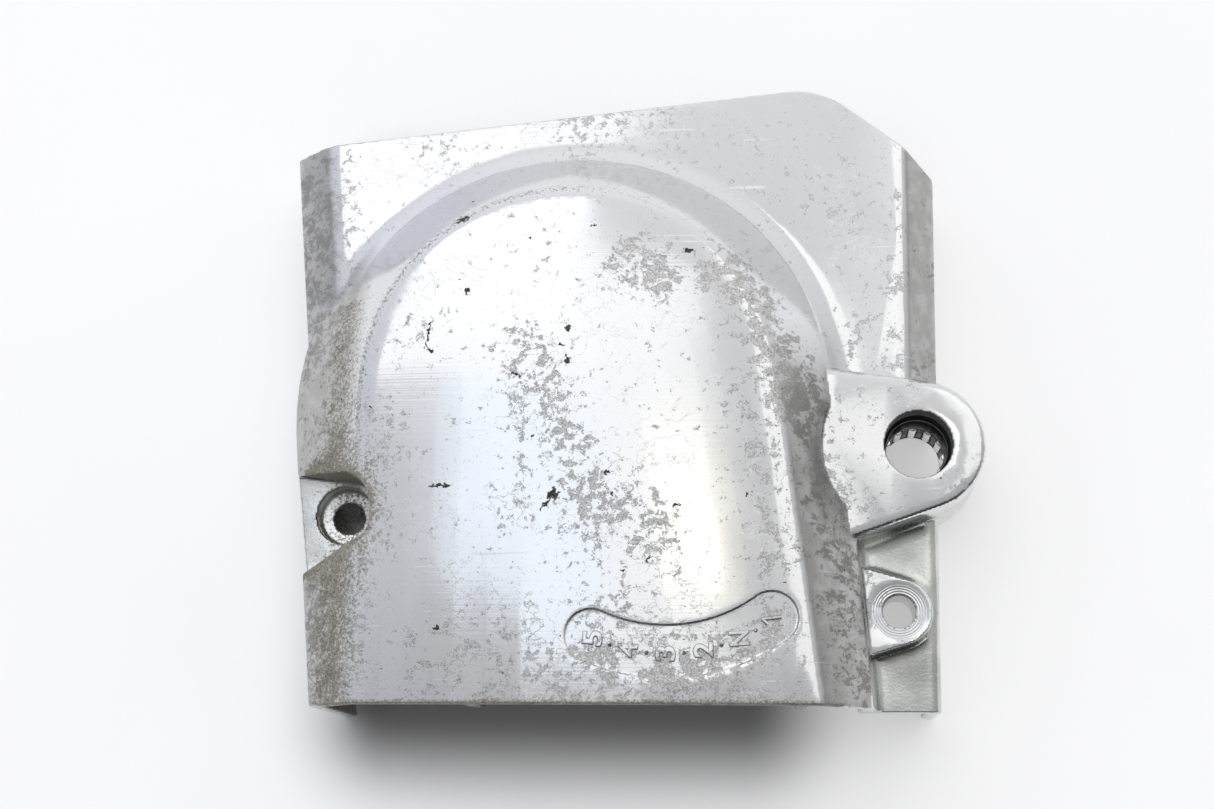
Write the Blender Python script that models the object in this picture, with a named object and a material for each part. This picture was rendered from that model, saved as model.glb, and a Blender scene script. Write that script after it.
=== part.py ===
"""Motorcycle sprocket cover: a die-cast aluminium shell that lies on its mating rim with its outer face up.

Units are metres, +Z points away from the rim, and the straight front cut edge runs along X.
The shell has an arched dome over the sprocket, a lower wing behind it, and a lug with the shift shaft bore.
Inside the bore sit a rubber dust seal and a drawn-cup needle bearing: cup, cage and rollers.
"""

import math

import bmesh
import bpy
from mathutils import Matrix, Vector

# Heights above the mating rim
DOME_EDGE_HEIGHT = 0.0460
CROWN_RISE = 0.0016
LUG_HEIGHT = 0.0340
WING_HEIGHT = 0.0300
SCREW_BOSS_HEIGHT = 0.0280
SHELF_HEIGHT = 0.0220
NOTCH_FLOOR_HEIGHT = 0.0270
WALL = 0.0030

# Dome: every level of it is the same arch, a round rear and two straight legs, at another radius.
# Outside the crease the arch's centre drifts to the front by a share of the added radius.
ARCH_CENTRE = Vector((-0.0036, 0.0670))
CREASE_RADIUS = 0.0445
CENTRE_DRIFT = 0.14
CREASE_ROUND = 0.0030
FACET_SLOPE = math.radians(46.5)
LEFT_LEG_LEAN = math.radians(0.9)
RIGHT_LEG_LEAN = math.radians(7.3)
COVE_RADIUS = 0.0100
COVE_SINK = math.radians(6.0)
COVE_FADE_START = math.radians(145)
COVE_FADE_END = math.radians(168)
CROWN_SHARES = (0, 0.2, 0.38, 0.54, 0.68, 0.8, 0.9)
INNER_CROWN_SHARES = (0.65, 0.85)
INNER_FACET_DROP = 0.0039
RIGHT_LEG_SHARES = (0.2, 0.6, 1.0)
RIDGE_RADIUS = 0.0080

# Steep wall between the dome's right leg and the shelf. Its upper edge drops towards the arch.
STEP_EDGE_HEIGHT = 0.0348
STEP_EDGE_DROP = 0.0042
STEP_DRAFT = math.radians(8.0)
STEP_FILLET = 0.0020

# Side walls
LEFT_WALL_RADIUS = 0.0635
LEFT_WALL_LEAN = math.radians(-7.2)
LEFT_WALL_END = math.radians(150)
RIGHT_WALL_X = 0.0758
RIGHT_WALL_LEAN = math.radians(0.65)
WALL_EDGE_ROUND = 0.0025

# Wing: the flat plate behind the dome, with a facet down to each side wall
WING_LEFT_X = -0.0700
WING_LEFT_Y = 0.1268
WING_LEFT_LEAN = math.radians(5.2)
WING_LEFT_FACET = 0.0090
WING_LEFT_DROP = 0.0070
WING_LEFT_ROUND = 0.0075
WING_RIGHT_FACET = 0.0070
WING_START_Y = 0.0560

# Rear cut: a slanting edge and a diagonal corner
REAR_EDGE_Y = 0.1349
REAR_EDGE_SLOPE = math.radians(5.8)
REAR_CORNER_X = 0.0515
REAR_CORNER_SLOPE = math.radians(-38.0)
REAR_CORNER_ROUND = 0.0190

# Shift shaft lug
BORE_INSET = 0.0044
BORE_CENTRE = Vector((RIGHT_WALL_X - BORE_INSET, 0.0564))
LUG_RADIUS = 0.0144
LUG_UPPER_SLOPE = math.radians(-8.4)
LUG_LOWER_SLOPE = math.radians(19.5)
LUG_ROOT_X = 0.0430
LUG_EDGE_ROUND = 0.0015
BOSS_DRAFT = math.radians(1.0)
LUG_FILLET = 0.0030
LUG_UNDERSIDE_HEIGHT = 0.0090
LUG_PLATE = 0.0040
LUG_WALL = 0.0034
LEVER_CLEARANCE_RADIUS = 0.0210
LEVER_CLEARANCE_DEPTH = 0.0005
SHIFT_COLUMN_RADIUS = 0.0141
BORE_RADIUS = 0.0073
BORE_LIP_LENGTH = 0.0050

# Screw boss on the shelf
SCREW_BOSS_INSET = 0.0090
SCREW_BOSS_CENTRE = Vector((RIGHT_WALL_X - SCREW_BOSS_INSET, 0.0211))
SCREW_BOSS_RADIUS = 0.0072
SCREW_BOSS_UPPER_SLOPE = math.radians(-16.0)
SCREW_BOSS_LOWER_SLOPE = math.radians(17.0)
SCREW_BOSS_ROOT_X = 0.0520
SCREW_BOSS_EDGE_ROUND = 0.0006
SCREW_BOSS_FILLET = 0.0020
SCREW_COLUMN_RADIUS = 0.0062
SCREW_COLUMN_LENGTH = 0.0125
SCREW_HOLE_RADIUS = 0.0035
SPOT_FACE_RADIUS = 0.0065
SPOT_FACE_DEPTH = 0.0004

# Notch in the left shoulder, with a counterbored screw hole
NOTCH_RIGHT_X = -0.0454
NOTCH_UPPER_Y = 0.0489
NOTCH_UPPER_SLOPE = math.radians(-7.5)
NOTCH_UPPER_ROUND = 0.0080
NOTCH_LOWER_Y = 0.0360
NOTCH_LOWER_SLOPE = math.radians(21.4)
NOTCH_LOWER_ROUND = 0.0040
NOTCH_SCREW_CENTRE = Vector((-0.0547, 0.0427))
NOTCH_COUNTERBORE_RADIUS = 0.0064
NOTCH_COUNTERBORE_DEPTH = 0.0045
NOTCH_COLUMN_RADIUS = 0.0085

# Kidney-shaped recess that frames the gear numbers
KIDNEY_ARC_CENTRE = Vector((0.0177, 0.0481))
KIDNEY_ARC_RADIUS = 0.03735
KIDNEY_WIDTH = 0.0109
KIDNEY_START = math.radians(-114.4)
KIDNEY_END = math.radians(-54.1)
KIDNEY_DEPTH = 0.0004

# Stiffening ribs under the dome, with their ends in the front cut
RIB_CENTRES_X = (-0.0231, 0.0455)
RIB_THICKNESS = 0.0028
RIB_LENGTH = 0.0340
RIB_FOOT_HEIGHT = 0.0260

# Needle bearing and seal in the bore
SEAT_RADIUS = 0.0090
FIT_GAP = 0.00015
SEAL_LENGTH = 0.0070
SEAL_BORE_RADIUS = 0.0066
SEAL_LIP_LENGTH = 0.0016
SEAL_LIP_CHAMFER = 0.0002
SEAL_MOUTH_RADIUS = 0.0078
SEAL_BODY_RADIUS = 0.0074
CUP_LENGTH = 0.0120
CUP_WALL = 0.0008
CUP_LIP_RADIUS = 0.0064
ROLLER_COUNT = 12
ROLLER_RADIUS = 0.0010
ROLLER_LENGTH = 0.0080
RUNNING_GAP = 0.00012
CAGE_INNER_RADIUS = 0.0065
CAGE_WALL = 0.00065
CAGE_RIM_LENGTH = 0.0008

# Fineness of the round forms
ARCH_STEPS = 120
WALL_ARC_STEPS = 24
PROFILE_STEPS = 7
CIRCLE_STEPS = 48
SMALL_CIRCLE_STEPS = 32
KIDNEY_ARC_STEPS = 12
KIDNEY_END_STEPS = 6
ROLLER_STEPS = 12
FILLET_STEPS = 4
SHARP_ANGLE = math.radians(30)

# How far a solid runs past what it joins or cuts.
# The feet below the rim differ from each other, so that no two faces of a Boolean lie in one plane.
OVERRUN = 0.0050
FAR = 0.2
MERGE = 0.0001
JOIN = 0.000001
WING_FOOT = -0.0045
SHELF_FRONT = -0.0045
SHELF_FOOT = -0.0040
WING_HOLLOW_FOOT = -0.0075
SHELF_HOLLOW_FRONT = -0.0085
SHELF_HOLLOW_FOOT = -0.00825
LUG_HOLLOW_FOOT = -0.0090
COLUMN_FOOT = -0.0150


def clear_scene():
    for obj in list(bpy.data.objects):
        bpy.data.objects.remove(obj)


def material(name, colour, roughness, metallic):
    made = bpy.data.materials.new(name)
    made.use_nodes = True
    shader = made.node_tree.nodes["Principled BSDF"]
    shader.inputs["Base Color"].default_value = (*colour, 1.0)
    shader.inputs["Roughness"].default_value = roughness
    shader.inputs["Metallic"].default_value = metallic
    return made


def object_from(name, mesh_builder):
    mesh_builder.normal_update()
    mesh = bpy.data.meshes.new(name)
    mesh_builder.to_mesh(mesh)
    mesh_builder.free()
    obj = bpy.data.objects.new(name, mesh)
    bpy.context.collection.objects.link(obj)
    return obj


def loft(name, rings):
    """Closed solid through rings of equally many points, capped at both ends."""
    bm = bmesh.new()
    rows = [[bm.verts.new(point) for point in ring] for ring in rings]
    for lower, upper in zip(rows, rows[1:]):
        for i, vertex in enumerate(lower):
            j = (i + 1) % len(lower)
            bm.faces.new((vertex, lower[j], upper[j], upper[i]))
    bm.faces.new(rows[0])
    bm.faces.new(rows[-1])
    bmesh.ops.recalc_face_normals(bm, faces=bm.faces)
    return object_from(name, bm)


def at_height(outline, z):
    return [Vector((point.x, point.y, z)) for point in outline]


def prism(name, outline, bottom, top):
    return loft(name, [at_height(outline, bottom), at_height(outline, top)])


def circle(centre, radius, steps):
    turns = (2 * math.pi * (i + 0.5) / steps for i in range(steps))
    return [centre + radius * Vector((math.cos(t), math.sin(t))) for t in turns]


def cylinder(name, centre, radius, bottom, top, steps=SMALL_CIRCLE_STEPS):
    return prism(name, circle(centre, radius, steps), bottom, top)


def combine(base, other, operation):
    """Apply a Boolean to base and remove the other solid."""
    modifier = base.modifiers.new(operation, "BOOLEAN")
    modifier.object = other
    modifier.operation = operation
    modifier.solver = "EXACT"
    graph = bpy.context.evaluated_depsgraph_get()
    result = bpy.data.meshes.new_from_object(base.evaluated_get(graph))
    base.modifiers.clear()
    base.data = result
    bpy.data.objects.remove(other)
    return base


def union(base, *others):
    for other in others:
        combine(base, other, "UNION")
    return base


def cut(base, *others):
    for other in others:
        combine(base, other, "DIFFERENCE")
    return base


def rounded(corners, steps=FILLET_STEPS):
    """Outline through (x, y, radius) corners, each with an arc of that radius."""
    outline = []
    for i, (x, y, radius) in enumerate(corners):
        corner = Vector((x, y))
        if radius == 0:
            outline.append(corner)
            continue
        before = Vector(corners[i - 1][:2]) - corner
        after = Vector(corners[(i + 1) % len(corners)][:2]) - corner
        half = before.angle(after) / 2
        towards = (before.normalized() + after.normalized()).normalized()
        centre = corner + towards * radius / math.sin(half)
        start = corner + before.normalized() * radius / math.tan(half) - centre
        sweep = (math.pi - 2 * half) * (-1 if before.cross(after) > 0 else 1)
        for step in range(steps + 1):
            outline.append(centre + Matrix.Rotation(sweep * step / steps, 2) @ start)
    return outline


def tangent_outline(centre, radius, upper_slope, lower_slope, root_x, steps):
    """Teardrop: a circle with two tangent lines that run left to root_x."""
    first = lower_slope - math.pi / 2
    last = upper_slope + math.pi / 2
    arc = []
    for i in range(steps + 1):
        turn = first + (last - first) * i / steps
        arc.append(centre + radius * Vector((math.cos(turn), math.sin(turn))))
    lower_root = Vector((root_x, arc[0].y - (arc[0].x - root_x) * math.tan(lower_slope)))
    upper_root = Vector((root_x, arc[-1].y - (arc[-1].x - root_x) * math.tan(upper_slope)))
    return [lower_root, *arc, upper_root]


def crown_height(radius, edge_radius=CREASE_RADIUS):
    return DOME_EDGE_HEIGHT + CROWN_RISE * (1 - (radius / edge_radius) ** 2)


def facet_radius(height):
    return CREASE_RADIUS + (DOME_EDGE_HEIGHT - height) / math.tan(FACET_SLOPE)


def crown_profile():
    """Radius and height from the ridge of the dome out to its rounded crease."""
    radii = [RIDGE_RADIUS + (CREASE_RADIUS - RIDGE_RADIUS) * share for share in CROWN_SHARES]
    crown = [Vector((radius, crown_height(radius))) for radius in radii]
    facet_end = (facet_radius(WING_HEIGHT), WING_HEIGHT, 0)
    bend = rounded([(*crown[-1], 0), (CREASE_RADIUS, DOME_EDGE_HEIGHT, CREASE_ROUND), facet_end])
    return crown + bend[1:-1]


def cove_profile(steps):
    """The facet's lower end, where a cove turns it into the flat wing."""
    reach = COVE_RADIUS * math.tan(FACET_SLOPE / 2)
    points = []
    for i in range(steps + 1):
        turn = FACET_SLOPE + (COVE_SINK - FACET_SLOPE) * i / steps
        radius = facet_radius(WING_HEIGHT) + reach - COVE_RADIUS * math.sin(turn)
        points.append(Vector((radius, WING_HEIGHT + COVE_RADIUS * (1 - math.cos(turn)))))
    return points


def shoulder_profile(steps):
    """The same stretch on the left leg, where the facet runs straight on to the side wall."""
    low = WING_HEIGHT - 2 * COVE_RADIUS
    high = cove_profile(steps)[0].y
    heights = [high + (low - high) * i / steps for i in range(steps + 1)]
    return [Vector((facet_radius(height), height)) for height in heights]


def step_profile(offset, steps):
    """The same stretch on the right leg: an edge, a steep wall and a fillet onto the shelf."""
    edge = CREASE_RADIUS + offset
    edge_height = DOME_EDGE_HEIGHT - offset * math.tan(FACET_SLOPE)
    foot = edge + (edge_height - SHELF_HEIGHT) * math.tan(STEP_DRAFT)
    half = (steps - 1) // 2
    crease = (CREASE_RADIUS, DOME_EDGE_HEIGHT, 0)
    top = [crease, (edge, edge_height, STEP_FILLET / 2), (foot, SHELF_HEIGHT, 0)]
    corner = [(edge, edge_height, 0), (foot, SHELF_HEIGHT, STEP_FILLET), (foot + OVERRUN, SHELF_HEIGHT, 0)]
    return rounded(top, half)[1:-1] + rounded(corner, half)[1:-1]


def arch_point(turn, share, radius, front):
    """Point of the arch: on its round rear, or share of the way down the straight leg that starts there."""
    drift = CENTRE_DRIFT * max(radius - CREASE_RADIUS, 0)
    end = ARCH_CENTRE - Vector((0, drift)) + radius * Vector((math.cos(turn), math.sin(turn)))
    y = end.y + (front - end.y) * share
    return Vector((end.x + (end.y - y) * math.tan(turn), y))


def arch_stations():
    """Turn and leg share of every station, from the left leg's front end to the right leg's."""
    left = math.pi - LEFT_LEG_LEAN
    right = RIGHT_LEG_LEAN
    stations = [(left, 1.0)]
    stations += [(left + (right - left) * i / ARCH_STEPS, 0.0) for i in range(ARCH_STEPS + 1)]
    return stations + [(right, share) for share in RIGHT_LEG_SHARES]


def is_on_right_leg(turn, share):
    return share > 0 and turn < math.pi / 2


def step_offset(share):
    """How far outside the crease the facet meets the steep wall."""
    edge_height = STEP_EDGE_HEIGHT - STEP_EDGE_DROP * (1 - share)
    return (DOME_EDGE_HEIGHT - edge_height) / math.tan(FACET_SLOPE)


def cove_share(turn):
    """1 where the cove is whole, fading to 0 over the left shoulder."""
    share = min(max((COVE_FADE_END - turn) / (COVE_FADE_END - COVE_FADE_START), 0.0), 1.0)
    return share * share * (3 - 2 * share)


def dome_profile(turn, share, sunk):
    """Radius and height of the dome's outer surface at one station, from the ridge down."""
    if is_on_right_leg(turn, share):
        lower = step_profile(step_offset(share), PROFILE_STEPS)
    else:
        whole = cove_share(turn)
        pairs = zip(shoulder_profile(PROFILE_STEPS), cove_profile(PROFILE_STEPS))
        lower = [plain.lerp(coved, whole) for plain, coved in pairs]
    profile = crown_profile() + lower
    profile.append(Vector((lower[-1].x, -OVERRUN)))
    return [Vector((point.x, point.y - sunk)) for point in profile]


def loft_arch(name, profile_at, front):
    """Loft one ring through every level of the profiles that stand at the arch's stations."""
    stations = arch_stations()
    profiles = [profile_at(turn, share) for turn, share in stations]
    rings = []
    for level in zip(*profiles):
        places = [arch_point(*station, point.x, front) for station, point in zip(stations, level)]
        rings.append([Vector((*place, point.y)) for place, point in zip(places, level)])
    return loft(name, rings)


def dome_outside(name, sunk=0.0):
    """The dome, before its left wall trims it."""
    return loft_arch(name, lambda turn, share: dome_profile(turn, share, sunk), -OVERRUN)


def inner_profile(turn, share):
    """Radius and height of the dome's inner surface: its crown and facets set in by the wall."""
    facet_inset = WALL / math.sin(FACET_SLOPE)
    top = DOME_EDGE_HEIGHT - WALL
    crease = facet_radius(top) - facet_inset
    if is_on_right_leg(turn, share):
        base = CREASE_RADIUS + step_offset(share) - WALL
        base_height = DOME_EDGE_HEIGHT - (base + facet_inset - CREASE_RADIUS) * math.tan(FACET_SLOPE)
    else:
        base_height = WING_HEIGHT - INNER_FACET_DROP - 2 * COVE_RADIUS * (1 - cove_share(turn))
        base = facet_radius(base_height) - facet_inset
    crown = [RIDGE_RADIUS, *(crease * share for share in INNER_CROWN_SHARES)]
    profile = [Vector((radius, crown_height(radius) - WALL)) for radius in crown]
    return profile + [Vector((crease, top)), Vector((base, base_height)), Vector((base, -2 * OVERRUN))]


def dome_inside(name):
    return loft_arch(name, inner_profile, -2 * OVERRUN)


def left_wall_outline(inset, margin):
    """Plan of all that lies inside the left wall, wide open on the other sides."""
    radius = LEFT_WALL_RADIUS - inset
    first = math.pi - LEFT_WALL_LEAN
    turns = [first + (LEFT_WALL_END - first) * i / WALL_ARC_STEPS for i in range(WALL_ARC_STEPS + 1)]
    arc = [ARCH_CENTRE + radius * Vector((math.cos(turn), math.sin(turn))) for turn in turns]
    foot = arc[0] + Vector(((arc[0].y + margin) * math.tan(first), -arc[0].y - margin))
    rear = arc[-1] + FAR * Vector((math.sin(LEFT_WALL_END), -math.cos(LEFT_WALL_END)))
    return [foot, *arc, rear, Vector((FAR, rear.y)), Vector((FAR, -margin))]


def right_wall_x(y, inset):
    return RIGHT_WALL_X + y * math.tan(RIGHT_WALL_LEAN) - inset


def wing_left_x(y, inset):
    return WING_LEFT_X - (y - WING_LEFT_Y) * math.tan(WING_LEFT_LEAN) + inset


def wing(name, inset, start, end, bottom):
    """Loft of the wing's cross section along Y."""
    rings = []
    for y in (start, end):
        left = wing_left_x(y, inset)
        right = right_wall_x(y, inset)
        top = WING_HEIGHT - inset
        edge = WALL_EDGE_ROUND if inset == 0 else 0
        left_bend = WING_LEFT_ROUND if inset == 0 else 0
        section = rounded(
            [
                (left, bottom, 0),
                (left, top - WING_LEFT_DROP, edge),
                (left + WING_LEFT_FACET, top, left_bend),
                (right - WING_RIGHT_FACET, top, edge),
                (right, top - (WING_HEIGHT - SHELF_HEIGHT), edge),
                (right, bottom, 0),
            ]
        )
        rings.append([Vector((point.x, y, point.y)) for point in section])
    return loft(name, rings)


def shelf(name, inset, left, start, end, bottom):
    """Loft of the low shelf beside the dome's right leg."""
    rings = []
    for y in (start, end):
        right = right_wall_x(y, inset)
        edge = WALL_EDGE_ROUND if inset == 0 else 0
        top = SHELF_HEIGHT - inset
        section = rounded([(left, bottom, 0), (left, top, 0), (right, top, edge), (right, bottom, 0)])
        rings.append([Vector((point.x, y, point.y)) for point in section])
    return loft(name, rings)


def inside_right_wall(inset, front, rear, bottom):
    """Block whose right side follows the right wall, set in from it."""
    plan = [Vector((0, front)), Vector((right_wall_x(front, inset), front))]
    plan += [Vector((right_wall_x(rear, inset), rear)), Vector((0, rear))]
    return prism("inside_right_wall", plan, bottom, DOME_EDGE_HEIGHT)


def lug_outline(offset):
    steps = CIRCLE_STEPS // 2
    radius = LUG_RADIUS + offset
    return tangent_outline(BORE_CENTRE, radius, LUG_UPPER_SLOPE, LUG_LOWER_SLOPE, LUG_ROOT_X, steps)


def screw_boss_outline(offset):
    steps = SMALL_CIRCLE_STEPS // 2
    return tangent_outline(
        SCREW_BOSS_CENTRE,
        SCREW_BOSS_RADIUS + offset,
        SCREW_BOSS_UPPER_SLOPE,
        SCREW_BOSS_LOWER_SLOPE,
        SCREW_BOSS_ROOT_X,
        steps,
    )


def boss(name, outline_at, top, bottom, edge_round):
    """Drafted boss with a rounded top edge."""
    rings = [at_height(outline_at((top - bottom) * math.tan(BOSS_DRAFT)), bottom)]
    for i in range(FILLET_STEPS + 1):
        turn = math.pi / 2 * i / FILLET_STEPS
        rise = edge_round * math.sin(turn)
        rings.append(at_height(outline_at(edge_round * (math.cos(turn) - 1)), top - edge_round + rise))
    return loft(name, rings)


def foot_fillet(name, outline_at, radius):
    """Flare that joins a boss to the shelf."""
    rings = [at_height(outline_at(radius), SHELF_HEIGHT - WALL / 2)]
    for i in range(FILLET_STEPS + 1):
        turn = COVE_SINK + (math.pi / 2 - COVE_SINK) * i / FILLET_STEPS
        offset = radius * (1 - math.sin(turn)) + MERGE
        rings.append(at_height(outline_at(offset), SHELF_HEIGHT + radius * (1 - math.cos(turn))))
    flare = loft(name, rings)
    return combine(flare, inside_right_wall(WALL, 0, WING_START_Y, 0), "INTERSECT")


def notch_outline(grow):
    """Plan of the notch, which is open to the left."""
    right = NOTCH_RIGHT_X + grow
    reach = right + FAR
    upper = NOTCH_UPPER_Y + grow / math.cos(NOTCH_UPPER_SLOPE) + grow * math.tan(NOTCH_UPPER_SLOPE)
    lower = NOTCH_LOWER_Y - grow / math.cos(NOTCH_LOWER_SLOPE) + grow * math.tan(NOTCH_LOWER_SLOPE)
    corners = [
        (-FAR, upper - reach * math.tan(NOTCH_UPPER_SLOPE), 0),
        (-FAR, lower - reach * math.tan(NOTCH_LOWER_SLOPE), 0),
        (right, lower, NOTCH_LOWER_ROUND + grow),
        (right, upper, NOTCH_UPPER_ROUND + grow),
    ]
    return rounded(corners, 2 * FILLET_STEPS)


def trim_outline():
    """Plan of the front cut, the rear cut and the diagonal corner, wide of both side walls."""
    rear_left = REAR_EDGE_Y - FAR * math.tan(REAR_EDGE_SLOPE)
    corner_y = REAR_EDGE_Y + REAR_CORNER_X * math.tan(REAR_EDGE_SLOPE)
    right = RIGHT_WALL_X + 2 * OVERRUN + LUG_RADIUS
    corners = [
        (-FAR, 0, 0),
        (right, 0, 0),
        (right, corner_y + (right - REAR_CORNER_X) * math.tan(REAR_CORNER_SLOPE), 0),
        (REAR_CORNER_X, corner_y, REAR_CORNER_ROUND),
        (-FAR, rear_left, 0),
    ]
    return rounded(corners, 2 * FILLET_STEPS)


def arc_points(centre, radius, start, end, steps):
    turns = [start + (end - start) * i / steps for i in range(steps + 1)]
    return [centre + radius * Vector((math.cos(turn), math.sin(turn))) for turn in turns]


def kidney_outline():
    half = KIDNEY_WIDTH / 2
    centre, radius = KIDNEY_ARC_CENTRE, KIDNEY_ARC_RADIUS
    left, right = arc_points(centre, radius, KIDNEY_START, KIDNEY_END, 1)
    outer = arc_points(centre, radius + half, KIDNEY_START, KIDNEY_END, KIDNEY_ARC_STEPS)
    inner = arc_points(centre, radius - half, KIDNEY_END, KIDNEY_START, KIDNEY_ARC_STEPS)
    right_end = arc_points(right, half, KIDNEY_END, KIDNEY_END + math.pi, KIDNEY_END_STEPS)
    left_end = arc_points(left, half, KIDNEY_START + math.pi, KIDNEY_START + 2 * math.pi, KIDNEY_END_STEPS)
    return outer + right_end[1:-1] + inner + left_end[1:-1]


def kidney_cutter():
    """What the recess takes away: the kidney above the dome's surface lowered by the recess depth."""
    blank = prism("kidney", kidney_outline(), LUG_HEIGHT, DOME_EDGE_HEIGHT + OVERRUN)
    return cut(blank, dome_outside("lowered_dome", KIDNEY_DEPTH))


def rib(centre_x):
    """Tapered rib: deepest at the front cut, running out under the crown."""
    half = RIB_THICKNESS / 2
    top = DOME_EDGE_HEIGHT + WALL
    front = -3 * OVERRUN
    side = [(front, RIB_FOOT_HEIGHT), (RIB_LENGTH, top - 2 * WALL), (RIB_LENGTH, top), (front, top)]
    rings = [[Vector((centre_x + x, y, z)) for y, z in side] for x in (-half, half)]
    return loft("rib", rings)


def lug_hollow(bottom):
    """The hollow under the lug's plate, which stays inside the right wall."""
    blank = prism("lug_hollow", lug_outline(-LUG_WALL), bottom, LUG_HEIGHT - LUG_PLATE)
    return combine(blank, inside_right_wall(LUG_WALL, -OVERRUN, 2 * BORE_CENTRE.y, 2 * bottom), "INTERSECT")


def casting_outside():
    dome = dome_outside("cover_casting")
    walls = prism("left_wall", left_wall_outline(0, 2 * OVERRUN), -2 * OVERRUN, DOME_EDGE_HEIGHT + OVERRUN)
    combine(dome, walls, "INTERSECT")
    lug = boss("lug", lug_outline, LUG_HEIGHT, LUG_UNDERSIDE_HEIGHT, LUG_EDGE_ROUND)
    boss_root = SHELF_HEIGHT - WALL / 2
    screw_boss = boss("screw_boss", screw_boss_outline, SCREW_BOSS_HEIGHT, boss_root, SCREW_BOSS_EDGE_ROUND)
    rear = REAR_EDGE_Y + 2 * OVERRUN + REAR_CORNER_X * math.tan(REAR_EDGE_SLOPE)
    floor = LUG_HEIGHT - LEVER_CLEARANCE_DEPTH
    cut(dome, cylinder("lever", BORE_CENTRE, LEVER_CLEARANCE_RADIUS, floor, 2 * LUG_HEIGHT, CIRCLE_STEPS))
    union(
        dome,
        wing("wing", 0, WING_START_Y, rear, WING_FOOT),
        shelf("shelf", 0, BORE_CENTRE.x / 2, SHELF_FRONT, WING_START_Y + OVERRUN, SHELF_FOOT),
        lug,
        foot_fillet("lug_fillet", lug_outline, LUG_FILLET),
        screw_boss,
        foot_fillet("screw_boss_fillet", screw_boss_outline, SCREW_BOSS_FILLET),
    )
    return cut(dome, prism("notch", notch_outline(0), NOTCH_FLOOR_HEIGHT, DOME_EDGE_HEIGHT + OVERRUN))


def casting_hollow():
    hollow = dome_inside("hollow")
    top = DOME_EDGE_HEIGHT + OVERRUN
    walls = prism("left_wall", left_wall_outline(WALL, 3 * OVERRUN), -3 * OVERRUN, top)
    combine(hollow, walls, "INTERSECT")
    rear = REAR_EDGE_Y + 3 * OVERRUN + REAR_CORNER_X * math.tan(REAR_EDGE_SLOPE)
    start = WING_START_Y + WALL
    union(
        hollow,
        wing("wing_hollow", WALL, WING_START_Y - WALL, rear, WING_HOLLOW_FOOT),
        shelf("shelf_hollow", WALL, BORE_CENTRE.x / 2, SHELF_HOLLOW_FRONT, start, SHELF_HOLLOW_FOOT),
        lug_hollow(LUG_HOLLOW_FOOT),
    )
    screw_foot = SCREW_BOSS_HEIGHT - SCREW_COLUMN_LENGTH
    keep = [
        cylinder("shift_column", BORE_CENTRE, SHIFT_COLUMN_RADIUS, LUG_UNDERSIDE_HEIGHT, top, CIRCLE_STEPS),
        cylinder("screw_column", SCREW_BOSS_CENTRE, SCREW_COLUMN_RADIUS, screw_foot, top),
        cylinder("notch_column", NOTCH_SCREW_CENTRE, NOTCH_COLUMN_RADIUS, COLUMN_FOOT, top),
        prism("notch_jacket", notch_outline(WALL), NOTCH_FLOOR_HEIGHT - WALL, top),
        *(rib(x) for x in RIB_CENTRES_X),
    ]
    return cut(hollow, *keep)


def casting():
    body = casting_outside()
    cut(body, casting_hollow())
    trim = prism("trim", trim_outline(), 0, DOME_EDGE_HEIGHT + 2 * OVERRUN)
    combine(body, trim, "INTERSECT")
    top = DOME_EDGE_HEIGHT + OVERRUN
    seat_top = LUG_HEIGHT - BORE_LIP_LENGTH
    seat_floor = NOTCH_FLOOR_HEIGHT - NOTCH_COUNTERBORE_DEPTH
    spot = SCREW_BOSS_HEIGHT - SPOT_FACE_DEPTH
    cut(
        body,
        cylinder("bore", BORE_CENTRE, BORE_RADIUS, 0, top, CIRCLE_STEPS),
        cylinder("bearing_seat", BORE_CENTRE, SEAT_RADIUS, 0, seat_top, CIRCLE_STEPS),
        cylinder("screw_hole", SCREW_BOSS_CENTRE, SCREW_HOLE_RADIUS, -OVERRUN, top),
        cylinder("spot_face", SCREW_BOSS_CENTRE, SPOT_FACE_RADIUS, spot, top),
        cylinder("notch_hole", NOTCH_SCREW_CENTRE, SCREW_HOLE_RADIUS, -OVERRUN, top),
        cylinder("notch_counterbore", NOTCH_SCREW_CENTRE, NOTCH_COUNTERBORE_RADIUS, seat_floor, top),
        kidney_cutter(),
    )
    body.data.materials.clear()
    body.data.materials.append(material("polished_aluminium", (0.78, 0.79, 0.80), 0.28, 1.0))
    return body


def revolve(name, profile, steps):
    """Ring turned about the bore's axis from a closed (radius, height) profile."""
    bm = bmesh.new()
    half_step = Matrix.Rotation(math.pi / steps, 3, "Z")
    corners = [bm.verts.new(half_step @ Vector((radius, 0, height))) for radius, height in profile]
    edges = [bm.edges.new((corner, corners[i - 1])) for i, corner in enumerate(corners)]
    bmesh.ops.spin(
        bm,
        geom=corners + edges,
        cent=(0, 0, 0),
        axis=(0, 0, 1),
        angle=2 * math.pi,
        steps=steps,
        use_merge=True,
    )
    bmesh.ops.remove_doubles(bm, verts=bm.verts, dist=JOIN)
    bmesh.ops.recalc_face_normals(bm, faces=bm.faces)
    obj = object_from(name, bm)
    obj.location = (BORE_CENTRE.x, BORE_CENTRE.y, 0)
    return obj


def seal_top():
    return LUG_HEIGHT - BORE_LIP_LENGTH - 2 * FIT_GAP


def cup_bottom():
    return seal_top() - SEAL_LENGTH - 2 * FIT_GAP - CUP_LENGTH


def cup_track_radius():
    return SEAT_RADIUS - FIT_GAP - CUP_WALL


def roller_circle_radius():
    return cup_track_radius() * math.cos(math.pi / CIRCLE_STEPS) - RUNNING_GAP - ROLLER_RADIUS


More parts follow.
